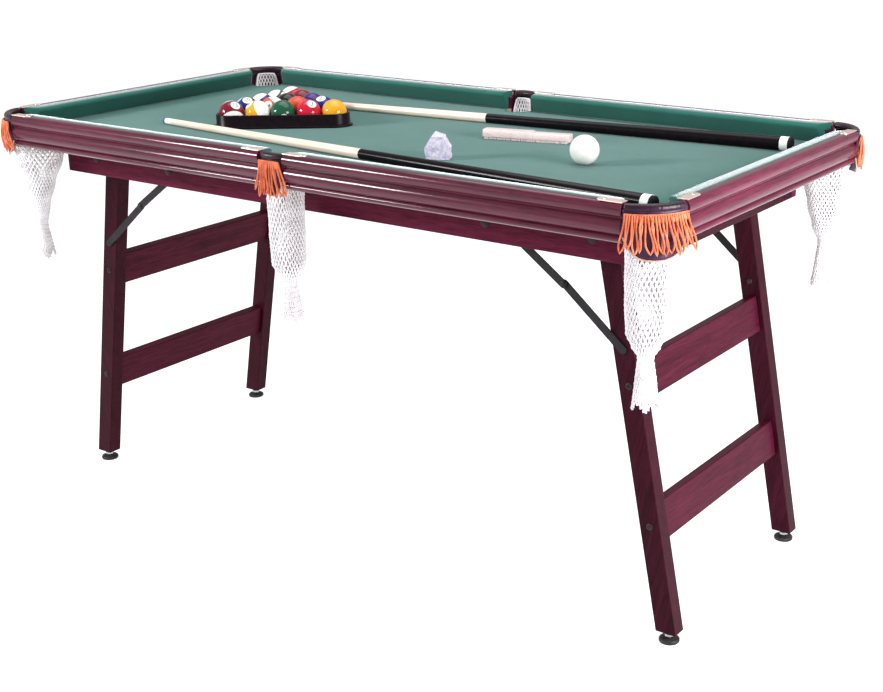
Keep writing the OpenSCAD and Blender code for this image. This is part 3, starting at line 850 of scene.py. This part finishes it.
def skirt(pocket, drop):
    """Leather hanging from the roll with a U-shaped foot."""
    columns, rows = 40, 14
    grid = []
    for j in range(rows + 1):
        row = []
        for i in range(columns + 1):
            t = 2 * i / columns - 1
            z = SKIRT_TOP + (skirt_foot(t, drop) - SKIRT_TOP) * j / rows
            row.append(skirt_point(pocket, t, j / rows, z))
        grid.append(row)
    return loft(grid, closed=False, caps=False)


def skirt_binding(pocket, drop):
    steps = 40
    return tube([skirt_point(pocket, t, 1, skirt_foot(t, drop), out=1.0)
                 for t in (2 * i / steps - 1 for i in range(steps + 1))], 1.5)


def strap(path, width, thick, across):
    """A flat strap along a path; across gives its width direction at each point."""
    rings = []
    for point, flat, (tangent, _, _) in zip(path, across, frames_along(path)):
        w = (flat - tangent * flat.dot(tangent)).normalized() * width / 2
        h = tangent.cross(w).normalized() * thick / 2
        rings.append([point + w * 0.75 + h, point + w, point + w * 0.75 - h,
                      point - w * 0.75 - h, point - w, point - w * 0.75 + h])
    return loft(rings)


def outside(pocket, radius, degrees, z):
    """As around, but carried on straight past the arc and kept clear of the rails' faces."""
    clear = 1.8
    limit = pocket["half_a"]
    held = min(max(degrees, -limit), limit)
    a = math.radians(pocket["middle_a"] + held)
    point = around(pocket, radius, held, z)
    point += Vector((-math.sin(a), math.cos(a), 0)) * radius * math.radians(degrees - held)
    if pocket is MIDDLE or degrees < -34:
        point.y = min(point.y, -HALF_W - clear)
    elif degrees > 34:
        point.x = max(point.x, HALF_L + clear)
    return point


def fringe(pocket, loops, spread_top, spread_foot, out_top, out_foot, foot_z, swept, seed):
    """A sewn band with doubled thongs that hang in curling loops.

    The spreads are half angles in degrees and the outs are distances past the pocket's arc, both
    at the band and at the feet; swept turns the feet aside, in millimetres.
    """
    draw = random.Random(seed)
    band_z, band_w, band_t, band_steps = TOP - 19, 13, 2.2, 30
    root_z, thong_r, steps = TOP - 14, 1.5, 14
    band_path = [outside(pocket, pocket["radius"] + out_top, a, band_z)
                 for a in (spread_top * (2 * i / band_steps - 1) for i in range(band_steps + 1))]
    shape = strap(band_path, band_w, band_t, [Vector((0, 0, 1))] * len(band_path))
    degree = math.degrees(1 / (pocket["radius"] + out_foot))
    for k in range(loops):
        t = 2 * (k + 0.5) / loops - 1
        foot = foot_z + draw.uniform(0, 13) + 6 * abs(t) ** 3
        swing = draw.uniform(-4.0, 4.0) + swept + 6 * t ** 3
        bulge = draw.uniform(-0.6, 2.6)
        belly = draw.uniform(2.4, 5.2)
        apart = spread_top / loops / degree * 0.55
        cross = draw.choice((-1, 1, 1))
        wave = [draw.uniform(-1.6, 1.6) for _ in range(2)]
        path = []
        for leg in (-1, 1):
            for i in (range(steps + 1) if leg < 0 else range(steps - 1, -1, -1)):
                s = i / steps
                ease = s ** 1.4
                z = root_z + (foot - root_z) * s
                offset = leg * (apart * (1 - s) * (cross if s > 0.3 else 1 - (1 - cross) * s / 0.3)
                                + belly * math.sin(math.pi * s ** 2.4))
                offset += swing * ease + wave[leg > 0] * math.sin(math.pi * s)
                radius = pocket["radius"] + out_top + 1.4 + (out_foot - out_top) * ease
                radius += bulge * math.sin(math.pi * s) + 0.8 * (leg + 1) * math.sin(math.pi * s)
                middle = t * (spread_top + (spread_foot - spread_top) * ease)
                path.append(outside(pocket, radius, middle + offset * degree, z))
        shape.add(tube(path, thong_r, 6))
    return shape


# How low some corner fringes hang, and how far their feet are swept round the corner
FRINGE_HANG = {"front_left": (TOP - 72, -9), "front_right": (TOP - 79, 8)}
pocket_number = 0
for y_name, sy in SIDES.items():
    for x_name, sx in (("left", -1), ("middle", 1), ("right", 1)):
        name = f"{y_name}_{x_name}"
        node = f"pocket_{name}"
        place = side(sx, sy)
        pocket_number += 1
        if x_name == "middle":
            pocket, drop = MIDDLE, 66
            hanging = fringe(pocket, 8, 25, 40, 7.0, 9.0, TOP - 82, 0, pocket_number)
        else:
            pocket, drop = CORNER, 77
            foot_z, swept = FRINGE_HANG.get(name, (TOP - 78, 0))
            hanging = fringe(pocket, 14, 36, 44, 9.4, 12.5, foot_z, swept, pocket_number)
        roll = piece(f"{node}_roll", leather_roll(pocket).moved(place), roll_leather, node, sharp=60)
        flap = piece(f"{node}_skirt", skirt(pocket, drop).moved(place), skirt_leather, node, sharp=180)
        thicken(flap, 2.2, 0)
        binding = piece(f"{node}_binding", skirt_binding(pocket, drop).moved(place), binding_leather, node,
                        sharp=60)
        piece(f"fringe_{name}", hanging.moved(place), thong, "pocket_fringes", sharp=50)


# ---------------------------------------------------------------- nets

def net(seed, mouth_r, profile, shift, lean, neck_z, tail_z, outward):
    """Knotted string: a rim, crossing strands, knots where they meet, a tied neck and a lobed tail.

    The profile gives the bag's radius at shares of the way down to its neck; the rim rises on the
    outward side, shift pulls the bag aside and lean tips its tail along X.
    """
    draw = random.Random(seed)
    strands, rows, neck_row = 28, 34, 26
    string_r, hem_r, tie_r = 1.4, 1.7, 1.3
    low_rim = BED_Z - 1
    high_rim = ROLL_Z - 9
    neck_r = profile[-1][1]
    girths = [(0.0, mouth_r)] + profile

    def bag_radius(t):
        for (t0, r0), (t1, r1) in zip(girths, girths[1:]):
            if t <= t1:
                return r0 + (r1 - r0) * smooth((max(t, 0) - t0) / (t1 - t0))
        return neck_r

    def rim_z(a):
        facing_out = math.cos(a) * outward[0] + math.sin(a) * outward[1]
        return low_rim + (high_rim - low_rim) * smooth((facing_out - 0.50) / 0.35)

    def leant(z):
        return lean * max(low_rim - z, 0) / 250

    def pulled(t):
        """How much of the shift applies: it grows just under the rim and fades out to the neck."""
        full = 0.14
        grown = max(t, 0) ** 0.5 if t < 0.06 else 0.245 + 0.755 * min((t - 0.06) / 0.08, 1)
        return grown * (1 - max(t - full, 0) / (1 - full))

    sway = [draw.uniform(-1, 1) for _ in range(4)]
    grid = []
    for row in range(rows + 1):
        ring = []
        for i in range(strands):
            a = 2 * math.pi * (i + 0.5 * (row % 2)) / strands
            if row <= neck_row:
                z = rim_z(a) + (neck_z - rim_z(a)) * row / neck_row
                t = (low_rim - z) / (low_rim - neck_z)
                radius = bag_radius(t)
                foot = 0
            else:
                s = (row - neck_row) / (rows - neck_row)
                z = neck_z + (tail_z - neck_z) * s
                t = 1
                radius = (neck_r + 9.0 * s ** 0.8) * (1 + 0.18 * s * math.cos(3 * a + sway[2] * 3))
                foot = 15 * s ** 6 * (0.5 + 0.5 * math.cos(4 * a + sway[3] * 3))
            if t > 0:
                radius *= 1 + 0.035 * noise.noise(Vector((math.cos(a) * 2, math.sin(a) * 2, z / 25 + seed)))
            ring.append(Vector((radius * math.cos(a) + shift[0] * pulled(t) + leant(z),
                                radius * math.sin(a) + shift[1] * pulled(t), z + foot)))
        grid.append(ring)
    shape = Shape()
    for way in (0, 1):
        for i in range(strands):
            path = []
            index = i
            for row, ring in enumerate(grid):
                path.append(ring[index % strands])
                index += row % 2 - way
            shape.add(tube(path, string_r, 5))
    knot = lathe([(0.1, -1.9), (1.7, -1.2), (2.1, 0), (1.7, 1.2), (0.1, 1.9)], 6)
    for ring in grid[1:]:
        for point in ring:
            shape.add(knot, at(*point))
    hem = [Vector((mouth_r * math.cos(a), mouth_r * math.sin(a), rim_z(a)))
           for a in (2 * math.pi * i / 64 for i in range(64))]
    shape.add(tube(hem, hem_r, 6, closed=True))
    coil_r, coil_h, coil_a, steps = neck_r + 1.8, 6, 8 * math.pi, 72
    coil = [Vector((leant(neck_z) + coil_r * math.cos(a), coil_r * math.sin(a),
                    neck_z + coil_h * (a / coil_a - 0.5)))
            for a in (coil_a * i / steps for i in range(steps + 1))]
    return shape.add(tube(coil, tie_r, 6))


# Each net's girth down to its tied neck, how far its top is pulled aside and its tail leans,
# and the heights of its neck and tail
PLAIN_BAG = [(0.10, 34), (0.55, 33), (0.80, 31), (0.92, 21), (1.0, 10.5)]
NARROW_BAG = [(0.10, 31), (0.50, 30.5), (0.80, 29.5), (0.92, 20), (1.0, 10)]
LOPSIDED_BAG = [(0.10, 46), (0.25, 42), (0.50, 27), (0.76, 16), (1.0, 10)]
FLARED_BAG = [(0.10, 42), (0.25, 38), (0.55, 30), (0.80, 22), (1.0, 10)]
NETS = {"front_left": (LOPSIDED_BAG, (22, 0), 0, 556, 492),
        "front_middle": (NARROW_BAG, (-4, 0), -9, 552, 480),
        "front_right": (PLAIN_BAG, (0, 0), 0, 545, 460),
        "back_left": (FLARED_BAG, (8, -6), 0, 560, 486),
        "back_middle": (NARROW_BAG, (3, 0), 3, 556, 484),
        "back_right": (FLARED_BAG, (-8, -6), 0, 573, 490)}
net_seed = 0
for y_name, sy in SIDES.items():
    for x_name, x in (("left", CORNER_INSET - HALF_L), ("middle", 0), ("right", HALF_L - CORNER_INSET)):
        net_seed += 1
        profile, shift, lean, neck_z, tail_z = NETS[f"{y_name}_{x_name}"]
        if x_name == "middle":
            mouth_r = MIDDLE_R - 1.6
            y = sy * (HALF_W - MIDDLE_INSET)
            outward = (0, sy)
        else:
            mouth_r = CORNER_R - 1.6
            y = sy * (HALF_W - CORNER_INSET)
            outward = (math.copysign(math.sqrt(0.5), x), sy * math.sqrt(0.5))
        bag = net(net_seed, mouth_r, profile, shift, lean, neck_z, tail_z, outward)
        node = f"net_{y_name}_{x_name}"
        made = piece(f"{node}_string", bag.moved(at(x, y, 0)), cotton, node, sharp=80)


# ---------------------------------------------------------------- plates and their screws

PLATE_L = 46
PLATE_W = 18
PLATE_T = 1.5
PLATE_D = 13
PLATE_HOLE = 34


def plate():
    """Runs from the rail's end at x = PLATE_L back to its rounded tip at x = 0."""
    r = PLATE_W / 2
    outline = [(PLATE_L, -r), (PLATE_L, r)] + arc(r, 0, r, 90, 270, 18)
    return prism(outline, 0.02, PLATE_T)


def screw_head(radius, rise):
    """A domed head with a pressed cross."""
    segments, rings = 48, 10
    loops = [[(x, y, 0) for x, y in circle(radius, segments)]]
    for k in range(rings + 1):
        r = radius * (1 - k / rings) + 0.03
        z = rise * math.sqrt(max(1 - (r / radius) ** 2 * 0.96, 0))
        loops.append([(x, y, z - 0.55 * rise if min(abs(x), abs(y)) < 0.42 and r < 0.62 * radius else z)
                      for x, y in circle(r, segments)])
    return loft(loops)


plates = Shape()
plate_screws = Shape()
corner_x = HALF_L - CORNER_CUT - PLATE_L
corner_y = CORNER_CUT + PLATE_L - HALF_W
for sx in ENDS.values():
    for sy in SIDES.values():
        for x, y, heading in ((corner_x, PLATE_D - HALF_W, 0), (MIDDLE_GAP + PLATE_L, PLATE_D - HALF_W, 180),
                              (HALF_L - PLATE_D, corner_y, -90)):
            place = side(sx, sy) @ at(x, y, TOP) @ turn(heading, "Z")
            plates.add(plate(), place)
            head_at = place @ at(PLATE_L - PLATE_HOLE, 0, PLATE_T - 0.2)
            plate_screws.add(screw_head(3.6, 1.0), head_at)
            plate_screws.add(lathe([(0.2, -11), (1.1, -9.4), (1.6, -8), (1.6, 0.2)], 16), head_at)
piece("pocket_plate_set", plates, rose_gold, "pocket_plates", bevel=0.45)
piece("plate_screw_set", plate_screws, bright_screw, "plate_screws", sharp=30)


# ---------------------------------------------------------------- legs

def leg_x(z):
    return HINGE.x + (HINGE.z - z) * math.tan(LEAN)


def leg_post():
    """A leaning post with a round head at the hinge and a level foot, drawn at the front right."""
    half = POST_X / 2
    wide = half / math.cos(LEAN)
    lean = math.degrees(LEAN)
    outline = [(leg_x(POST_END_Z) - wide, POST_END_Z), (leg_x(POST_END_Z) + wide, POST_END_Z)]
    outline += arc(HINGE.x, HINGE.z, half, lean, 180 + lean, 24)
    return prism(outline, POST_OUT - POST_Y, POST_OUT).moved(FACE_FRONT)


def crossbar(z):
    length = 2 * (POST_OUT - POST_Y)
    return block((BAR_T, length, BAR_H)).moved(at(leg_x(z), 0, z) @ Matrix.Rotation(-LEAN, 4, "Y"))


def bar_screw(z):
    """A screw through a post into the end of a crossbar."""
    place = at(leg_x(z), -POST_OUT, z) @ FACE_FRONT
    return screw_head(6, 2.0).moved(place).add(lathe([(1, 0), (3, 4), (3, 33)], 20), place @ at(0, 0, -33))


def stay_pin():
    """The pin of a stay that lies outside a post, with its head on the post's inner face."""
    length = POST_Y + ARM_GAP + ARM_T
    here = at(PIN.x, POST_Y - POST_OUT, PIN.z)
    pin = lathe([(3, 0), (3, length - 0.2), (2.4, length + 0.4)], 24).moved(here @ FACE_FRONT)
    return pin.add(dome(5.6, 2.6), here @ turn(-90, "X"))


BARS = {name: sum(corner.z for corner in node_box(f"right_{name}_crossbar")) / 2
        for name in ("upper", "lower")}
for x_name, sx in ENDS.items():
    leg = f"{x_name}_leg"
    places = [side(sx, sy) for sy in SIDES.values()]
    for y_name, place in zip(SIDES, places):
        piece(f"{leg}_{y_name}_post_wood", leg_post().moved(place), LEG_WOOD[x_name],
              f"{leg}_{y_name}_post", bevel=1.6)
    fasteners = Shape()
    for bar_name, z in BARS.items():
        bar = f"{x_name}_{bar_name}_crossbar"
        piece(f"{bar}_wood", crossbar(z).moved(side(sx, -1)), bar_wood, bar, bevel=1.6)
        for place in places:
            fasteners.add(bar_screw(z), place)
    for place in places:
        fasteners.add(stay_pin(), place)
    piece(f"{leg}_fastener_set", fasteners, pin_steel, f"{leg}_fasteners", sharp=30)


def arm(pivot, near):
    """A flat bar with round ends from a pivot to the elbow; near is its distance off the middle."""
    r = ARM_W / 2
    span = ELBOW - Vector((pivot.x, 0, pivot.z))
    slope = math.degrees(math.atan2(-span.z, span.x))
    outline = arc(0, 0, r, 90, 270, 16) + arc(span.length, 0, r, -90, 90, 16)
    return prism(outline, 0, ARM_T).moved(at(pivot.x, -near, pivot.z) @ turn(slope, "Y") @ FACE_FRONT)


lower_near = POST_OUT + ARM_GAP
upper_near = lower_near + ARM_T + ARM_GAP
rivet = dome(6, 2.5).moved(at(ELBOW.x, -(upper_near + ARM_T), ELBOW.z) @ FACE_FRONT)
STAYS = {"upper": arm(STAY, upper_near).add(rivet), "lower": arm(PIN, lower_near)}
for x_name, sx in ENDS.items():
    for kind, stay in STAYS.items():
        node = f"{x_name}_{kind}_stays"
        pair = Shape()
        for sy in SIDES.values():
            pair.add(stay, side(sx, sy))
        piece(f"{node}_arms", pair, black_steel, node, bevel=0.45, sharp=30)


def leveller():
    """A foot with a soft edge, a nut above it and a threaded stem, standing on Z = 0."""
    foot = [(15.0, 0), (17.2, 0.4), (18, 1.6), (18, 4.6), (17.2, 6.2), (14.5, 7.8), (10, 8.8), (6.5, 9.0)]
    pitch = 1.5
    thread = [(4.2, 8.5)]
    for i in range(26):
        z = 9 + i * pitch
        thread += [(4.4, z), (5.0, z + pitch / 3), (5.0, z + pitch / 2), (4.4, z + 1.25)]
    shape = lathe(foot, 48).add(lathe(thread + [(4.0, 48)], 32).marked(1))
    return shape.add(hex_nut(15, 5).marked(1), at(0, 0, 10.5))


for quarter in QUARTERS:
    name = f"leveller_{quarter}"
    low, high = node_box(name)
    centre = (low + high) / 2
    piece(f"{name}_foot", leveller().moved(at(centre.x, centre.y, 0)), [foot_black, zinc], name, sharp=40)


# ---------------------------------------------------------------- rack and balls

def rack_ring(radius, z):
    """The rack's rounded triangle, at a distance from the middles of its corner balls."""
    reach = 4 * BALL_STEP / math.sqrt(3)
    ring = []
    for corner in (90, 210, 330):
        middle = (reach * math.cos(math.radians(corner)), reach * math.sin(math.radians(corner)))
        ring += [(x, y, z) for x, y in arc(*middle, radius, corner - 60, corner + 60, 14)]
    return ring


def rack():
    gap, wall = 1.4, 4.5
    inner = BALL_R + gap
    outer = inner + wall
    section = [(inner, 0.6), (inner, 24.6), (inner + 0.5, 25.6), (inner + 1.5, 26), (outer - 1.5, 26),
               (outer - 0.5, 25.6), (outer, 24.6), (outer, 5.6), (outer + 0.7, 4.4), (outer + 4.2, 3.9),
               (outer + 5, 3.1), (outer + 5, 0.6), (outer + 4.4, 0), (inner + 0.6, 0)]
    rings = [rack_ring(r, z) for r, z in section]
    return loft(rings + [rings[0]], caps=False)


rack_place = at(RACK_AT.x, RACK_AT.y, SET_Z) @ Matrix.Rotation(RACK_A, 4, "Z")
piece("ball_rack_moulding", rack().moved(rack_place), rack_black, "ball_rack", sharp=45)

BALL_COLOURS = {1: (0.76, 0.36, 0.02), 2: (0.010, 0.022, 0.24), 3: (0.56, 0.006, 0.030),
                4: (0.045, 0.014, 0.15), 5: (0.62, 0.070, 0.022), 6: (0.006, 0.085, 0.040),
                7: (0.17, 0.008, 0.020), 8: (0.006, 0.006, 0.008)}


def ball_look(number):
    """Resin ball: X is the axis of its white number discs, Z the normal of its stripe."""
    look = Look(f"ball {number}", Coat_Weight=0.2, Coat_Roughness=0.03, Specular_IOR_Level=0.25)
    hue = BALL_COLOURS[number if number < 9 else number - 8]
    cloud = look.noise(look.place(), 60.0, 3.0)
    paint = look.ramp(cloud, [(0.3, tuple(c * 0.88 for c in hue)), (0.7, hue)])
    white = look.ramp(cloud, [(0.3, (0.84, 0.82, 0.78)), (0.7, (0.90, 0.88, 0.84))])
    if number > 8:
        paint = look.mix(look.beyond("Z", 0.52 * BALL_R), paint, white)
    look.colour(look.mix(look.beyond("X", 0.925 * BALL_R), paint, white))
    look.rough(cloud, 0.06, 0.12)
    return look.material


def ball_shape():
    """A sphere of even triangles."""
    work = bmesh.new()
    bmesh.ops.create_icosphere(work, subdivisions=5, radius=BALL_R)
    return shape_of(work)


def digits(number):
    """The ball's figures as a thin skin lying on both of its discs."""
    curve = bpy.data.curves.new("figures", "FONT")
    curve.body = str(number)
    curve.size = 15 if number < 10 else 12
    curve.align_x = "CENTER"
    curve.align_y = "CENTER"
    curve.resolution_u = 3
    holder = bpy.data.objects.new("figures", curve)
    scene.collection.objects.link(holder)
    flat = bpy.data.meshes.new_from_object(holder.evaluated_get(bpy.context.evaluated_depsgraph_get()))
    work = bmesh.new()
    work.from_mesh(flat)
    bmesh.ops.triangulate(work, faces=work.faces)
    for _ in range(2):
        long_edges = [edge for edge in work.edges if edge.calc_length() > 1.4]
        bmesh.ops.subdivide_edges(work, edges=long_edges, cuts=2)
        bmesh.ops.triangulate(work, faces=work.faces)
    xs = [v.co.x for v in work.verts]
    ys = [v.co.y for v in work.verts]
    cx, cy = (min(xs) + max(xs)) / 2, (min(ys) + max(ys)) / 2
    shape = Shape()
    count = len(work.verts)
    for way in (1, -1):
        for lift in (0.14, -0.6):
            start = len(shape.points)
            for v in work.verts:
                y, z = (v.co.x - cx) * way, v.co.y - cy
                x = math.sqrt(BALL_R ** 2 - y * y - z * z)
                shape.points.append(Vector((x * way, y, z)) * ((BALL_R + lift) / BALL_R))
            shape.faces += [tuple(start + v.index for v in (face.verts if lift > 0 else reversed(face.verts)))
                            for face in work.faces]
        top = len(shape.points) - 2 * count
        for edge in work.edges:
            if len(edge.link_faces) == 1:
                loop = edge.link_loops[0]
                a, b = loop.vert.index, loop.link_loop_next.vert.index
                shape.faces.append((top + b, top + a, top + count + a, top + count + b))
    shape.marks = [1] * len(shape.faces)
    work.free()
    bpy.data.objects.remove(holder)
    bpy.data.curves.remove(curve)
    bpy.data.meshes.remove(flat)
    return shape


# Numbers from the front row to the apex, and how far some are turned to show their figures
BALL_ROWS = ((15, 9, 6, 3, 1), (10, 13, 5, 2), (12, 8, 4), (14, 7), (11,))
TOWARDS_FRONT = {3: (-20, 52), 10: (-40, 60), 1: (60, 30), 2: (-70, 66)}
draw = random.Random(15)
for row, numbers in enumerate(BALL_ROWS):
    for i, number in enumerate(numbers):
        x = (i - (4 - row) / 2) * BALL_STEP
        y = (row * math.sqrt(3) / 2 - 2 / math.sqrt(3)) * BALL_STEP
        centre = rack_place @ Vector((x, y, BALL_R))
        heading, rise = TOWARDS_FRONT.get(number, (draw.uniform(-180, 180), draw.uniform(-50, 50)))
        roll_a = draw.uniform(-40, 40)
        ball = piece(f"ball_{number:02d}", ball_shape().add(digits(number)),
                     [ball_look(number), digit_black], "object_balls", sharp=60, recalc=False)
        ball.matrix_world = at(*centre * MM) @ turn(heading, "Z") @ turn(-rise, "Y") @ turn(roll_a, "X")

cue_low, cue_high = node_box("cue_ball")
cue_r = (cue_high.x - cue_low.x) / 2
white_ball = ball_shape().moved(Matrix.Scale(cue_r / BALL_R, 4))
piece("cue_ball_resin", white_ball.moved(at(*(cue_low + cue_high) / 2)), ivory, "cue_ball",
      sharp=60, recalc=False)


# ---------------------------------------------------------------- cues

CUE_L = 1210
CUE_JOINT = 636
CUE_TIP_R = 6
CUE_BUTT_R = 13
BUMPER_TOP = 7
RING_TOP = 22
FERRULE_Z = CUE_L - 28
TIP_Z = CUE_L - 9
CUES = {"front_cue": ((684, -284), -6.1), "back_cue": ((666, 255), 5)}


def cue(butt, heading):
    """Butt bumper at Z = 0, then lacquered butt with a white ring, maple shaft, ferrule and tip."""
    def at_height(z):
        """Radius and height of a point on the cue's taper."""
        return CUE_BUTT_R + (CUE_TIP_R - CUE_BUTT_R) * z / CUE_L, z

    bumper = [(8, 0.2), (10.2, 0.6), (11.9, 2.0), (12.4, 3.8), (12.4, BUMPER_TOP)]
    shaft_foot = (at_height(CUE_JOINT)[0] - 0.1, CUE_JOINT)
    tip = [(5.9, TIP_Z), (5.9, CUE_L - 4.5), (5.2, CUE_L - 2), (3.4, CUE_L - 0.6), (0.1, CUE_L)]
    parts = [(bumper, 0),
             ([at_height(BUMPER_TOP), at_height(RING_TOP)], 2),
             ([at_height(RING_TOP), at_height(330), at_height(CUE_JOINT)], 1),
             ([shaft_foot, at_height(900), at_height(FERRULE_Z)], 3),
             ([at_height(FERRULE_Z), at_height(TIP_Z)], 2),
             (tip, 4)]
    shape = Shape()
    for profile, mark in parts:
        shape.add(lathe(profile).marked(mark))
    tilt = math.degrees(math.asin((CUE_BUTT_R - CUE_TIP_R) / CUE_L))
    return shape, at(*Vector((*butt, SET_Z + CUE_BUTT_R)) * MM) @ turn(heading, "Z") @ turn(-90 - tilt, "Y")


for name, (butt, heading) in CUES.items():
    shape, place = cue(butt, heading)
    stick = piece(f"{name}_stick", shape, [rubber, black_lacquer, white_ring, maple, leather_tip], name,
                  sharp=40)
    stick.matrix_world = place


# ---------------------------------------------------------------- brush and chalk

BRUSH_SIZE = (174, 30, 18)
BRUSH_AT = (205, 86)
BRUSH_HEADING = 12.8


def brush():
    """A wooden back in two steps over rows of bristle tufts, drawn along X on Z = 0."""
    length, width, height = BRUSH_SIZE
    step_x = 12

    def wooden(x0, x1, w, low, high):
        r = 5
        left, right, out = x0 + r, x1 - r, w / 2 - r
        corners = [(right, out), (left, out), (left, -out), (right, -out)]
        outline = [p for i, (x, y) in enumerate(corners) for p in arc(x, y, r, 90 * i, 90 * i + 90, 5)]
        heights = [(low, 0.97), (low + 1, 1), (high - 3, 1), (high - 0.8, 0.93), (high, 0.80)]
        return loft([[(x, y * s, z) for x, y in outline] for z, s in heights])

    shape = wooden(-length / 2, step_x, width, 5, height)
    shape.add(wooden(step_x - 6, length / 2, width - 3, 5, height - 1.6))
    draw = random.Random(7)
    for i in range(34):
        for j in range(5):
            x = -length / 2 + 6 + i * (length - 12) / 33
            y = (j - 2) * 5.2
            lean_x, lean_y = draw.uniform(-1.2, 1.2), draw.uniform(-1.0, 1.0) + (j - 2) * 0.4
            tuft = [(x, y, 6), (x + lean_x * 0.4, y + lean_y * 0.4, 3), (x + lean_x, y + lean_y, 0.3)]
            shape.add(tube(tuft, [1.5, 1.9, 2.3], 6).marked(1))
    return shape


piece("table_brush_body", brush().moved(at(*BRUSH_AT, SET_Z) @ turn(BRUSH_HEADING, "Z")),
      [brush_wood, bristle], "table_brush")

CHALK = 20
CHALK_PLACE = at(166, -140, SET_Z) @ turn(24, "Z")
CHALK_CORNERS = ((-CHALK - 0.3, 0), (0.3, 0), (-CHALK / 2, CHALK))


def chalk_cube():
    """A paper-wrapped cube whose open top shows the chalk, hollowed by use."""
    half = CHALK / 2
    square = [(-half, -half), (half, -half), (half, half), (-half, half)]
    wrap = prism(square, 0, CHALK - 1.2).marked(1)
    rings = [[(x * s, y * s, z) for x, y in square]
             for s, z in ((0.97, CHALK - 1.4), (0.97, CHALK - 0.2), (0.70, CHALK - 0.4), (0.35, CHALK - 2.2))]
    return wrap.add(loft(rings))


cubes = Shape()
for x, z in CHALK_CORNERS:
    cubes.add(chalk_cube(), CHALK_PLACE @ at(x + CHALK / 2, 0, z))
chalks = piece("chalk_cube_set", cubes, [chalk_block(), chalk_paper()], "chalk_cubes", bevel=0.6)


def wrapper():
    """Clear film drawn round the stack of cubes, crumpled and open underneath."""
    slack = 1.2
    peak = [(-3, -1, 2 * CHALK + 9), (-1, 2, 2 * CHALK + 8)]
    work = bmesh.new()
    for x, z in CHALK_CORNERS:
        for dx in (-slack, CHALK + slack):
            for dy in (-CHALK / 2 - slack, CHALK / 2 + slack):
                for dz in (0.4, CHALK + slack):
                    work.verts.new((x + dx, dy, z + dz))
    for corner in peak:
        work.verts.new(corner)
    bmesh.ops.convex_hull(work, input=work.verts)
    bmesh.ops.delete(work, geom=[v for v in work.verts if not v.link_faces], context="VERTS")
    under = [face for face in work.faces if face.normal.z < -0.9 and face.calc_center_median().z < 1]
    bmesh.ops.delete(work, geom=under, context="FACES")
    bmesh.ops.subdivide_edges(work, edges=work.edges, cuts=7, use_grid_fill=True)
    bmesh.ops.triangulate(work, faces=work.faces)
    work.normal_update()
    for v in work.verts:
        push = 2.4 * noise.noise(v.co / 9.0) + 0.8 * noise.noise(v.co / 3.1)
        rise = min(max(v.co.z / 4, 0), 1)
        v.co += v.normal * max(push, -0.9) * rise
        v.co.z = max(v.co.z, 0.3)
    work.verts.index_update()
    return shape_of(work).moved(CHALK_PLACE)


wrap = piece("chalk_film_wrap", wrapper(), film(), "chalk_cubes", sharp=28)


# ---------------------------------------------------------------- floor, lights and camera

def floor():
    look = Look("pale studio floor", Roughness=0.9, Specular_IOR_Level=0.1,
                Emission_Color=(1, 1, 1, 1), Emission_Strength=0.74)
    look.tint(look.noise(look.place(), 1.5, 2.0), (0.50, 0.50, 0.50), (0.53, 0.53, 0.53))
    half = 40000
    mesh = bpy.data.meshes.new("studio floor")
    corners = [(-half, -half), (half, -half), (half, half), (-half, half)]
    mesh.from_pydata([(x * MM, y * MM, 0) for x, y in corners], [], [(0, 1, 2, 3)])
    made = bpy.data.objects.new("studio_floor", mesh)
    made.data.materials.append(look.material)
    scene.collection.objects.link(made)


floor()

world = bpy.data.worlds.new("studio")
scene.world = world
world.use_nodes = True
sky = world.node_tree.nodes["Background"]
sky.inputs["Color"].default_value = (1, 1, 1, 1)
sky.inputs["Strength"].default_value = 0.52


def softbox(name, location, target, size, radiance, colour=(1, 1, 1)):
    light = bpy.data.lights.new(name, "AREA")
    light.shape = "RECTANGLE"
    light.size, light.size_y = size
    light.energy = radiance * math.pi * size[0] * size[1]
    light.color = colour
    made = bpy.data.objects.new(name, light)
    made.location = location
    made.rotation_euler = (Vector(target) - Vector(location)).to_track_quat("-Z", "Y").to_euler()
    scene.collection.objects.link(made)


softbox("front left softbox", (-1.8, -2.2, 1.65), (0, -0.4, 0.76), (0.8, 0.5), 60)
softbox("right softbox", (1.95, -0.3, 0.95), (0.7, 0, 0.45), (0.9, 0.9), 19, (1, 0.95, 0.98))
softbox("overhead softbox", (0, 0.4, 3.0), (0, 0, 0.79), (3.0, 2.0), 2.8)

camera_data = bpy.data.cameras.new("camera")
camera_data.sensor_width = 36
camera_data.lens = 58.08
camera_data.shift_x = -0.0649
camera_data.shift_y = 0.0407
camera = bpy.data.objects.new("camera", camera_data)
scene.collection.objects.link(camera)
azimuth, elevation, roll = (math.radians(a) for a in (35.02, 20.41, -0.52))
back = Vector((math.sin(azimuth) * math.cos(elevation), -math.cos(azimuth) * math.cos(elevation),
               math.sin(elevation)))
right = Vector((math.cos(azimuth), math.sin(azimuth), 0))
up = back.cross(right)
right, up = right * math.cos(roll) + up * math.sin(roll), up * math.cos(roll) - right * math.sin(roll)
facing = Matrix((right, up, back)).transposed().to_4x4()
camera.matrix_world = at(1.69254, -2.13823, 1.26494) @ facing
scene.camera = camera

scene.view_settings.view_transform = "Standard"
scene.view_settings.look = "None"

bpy.context.view_layer.update()
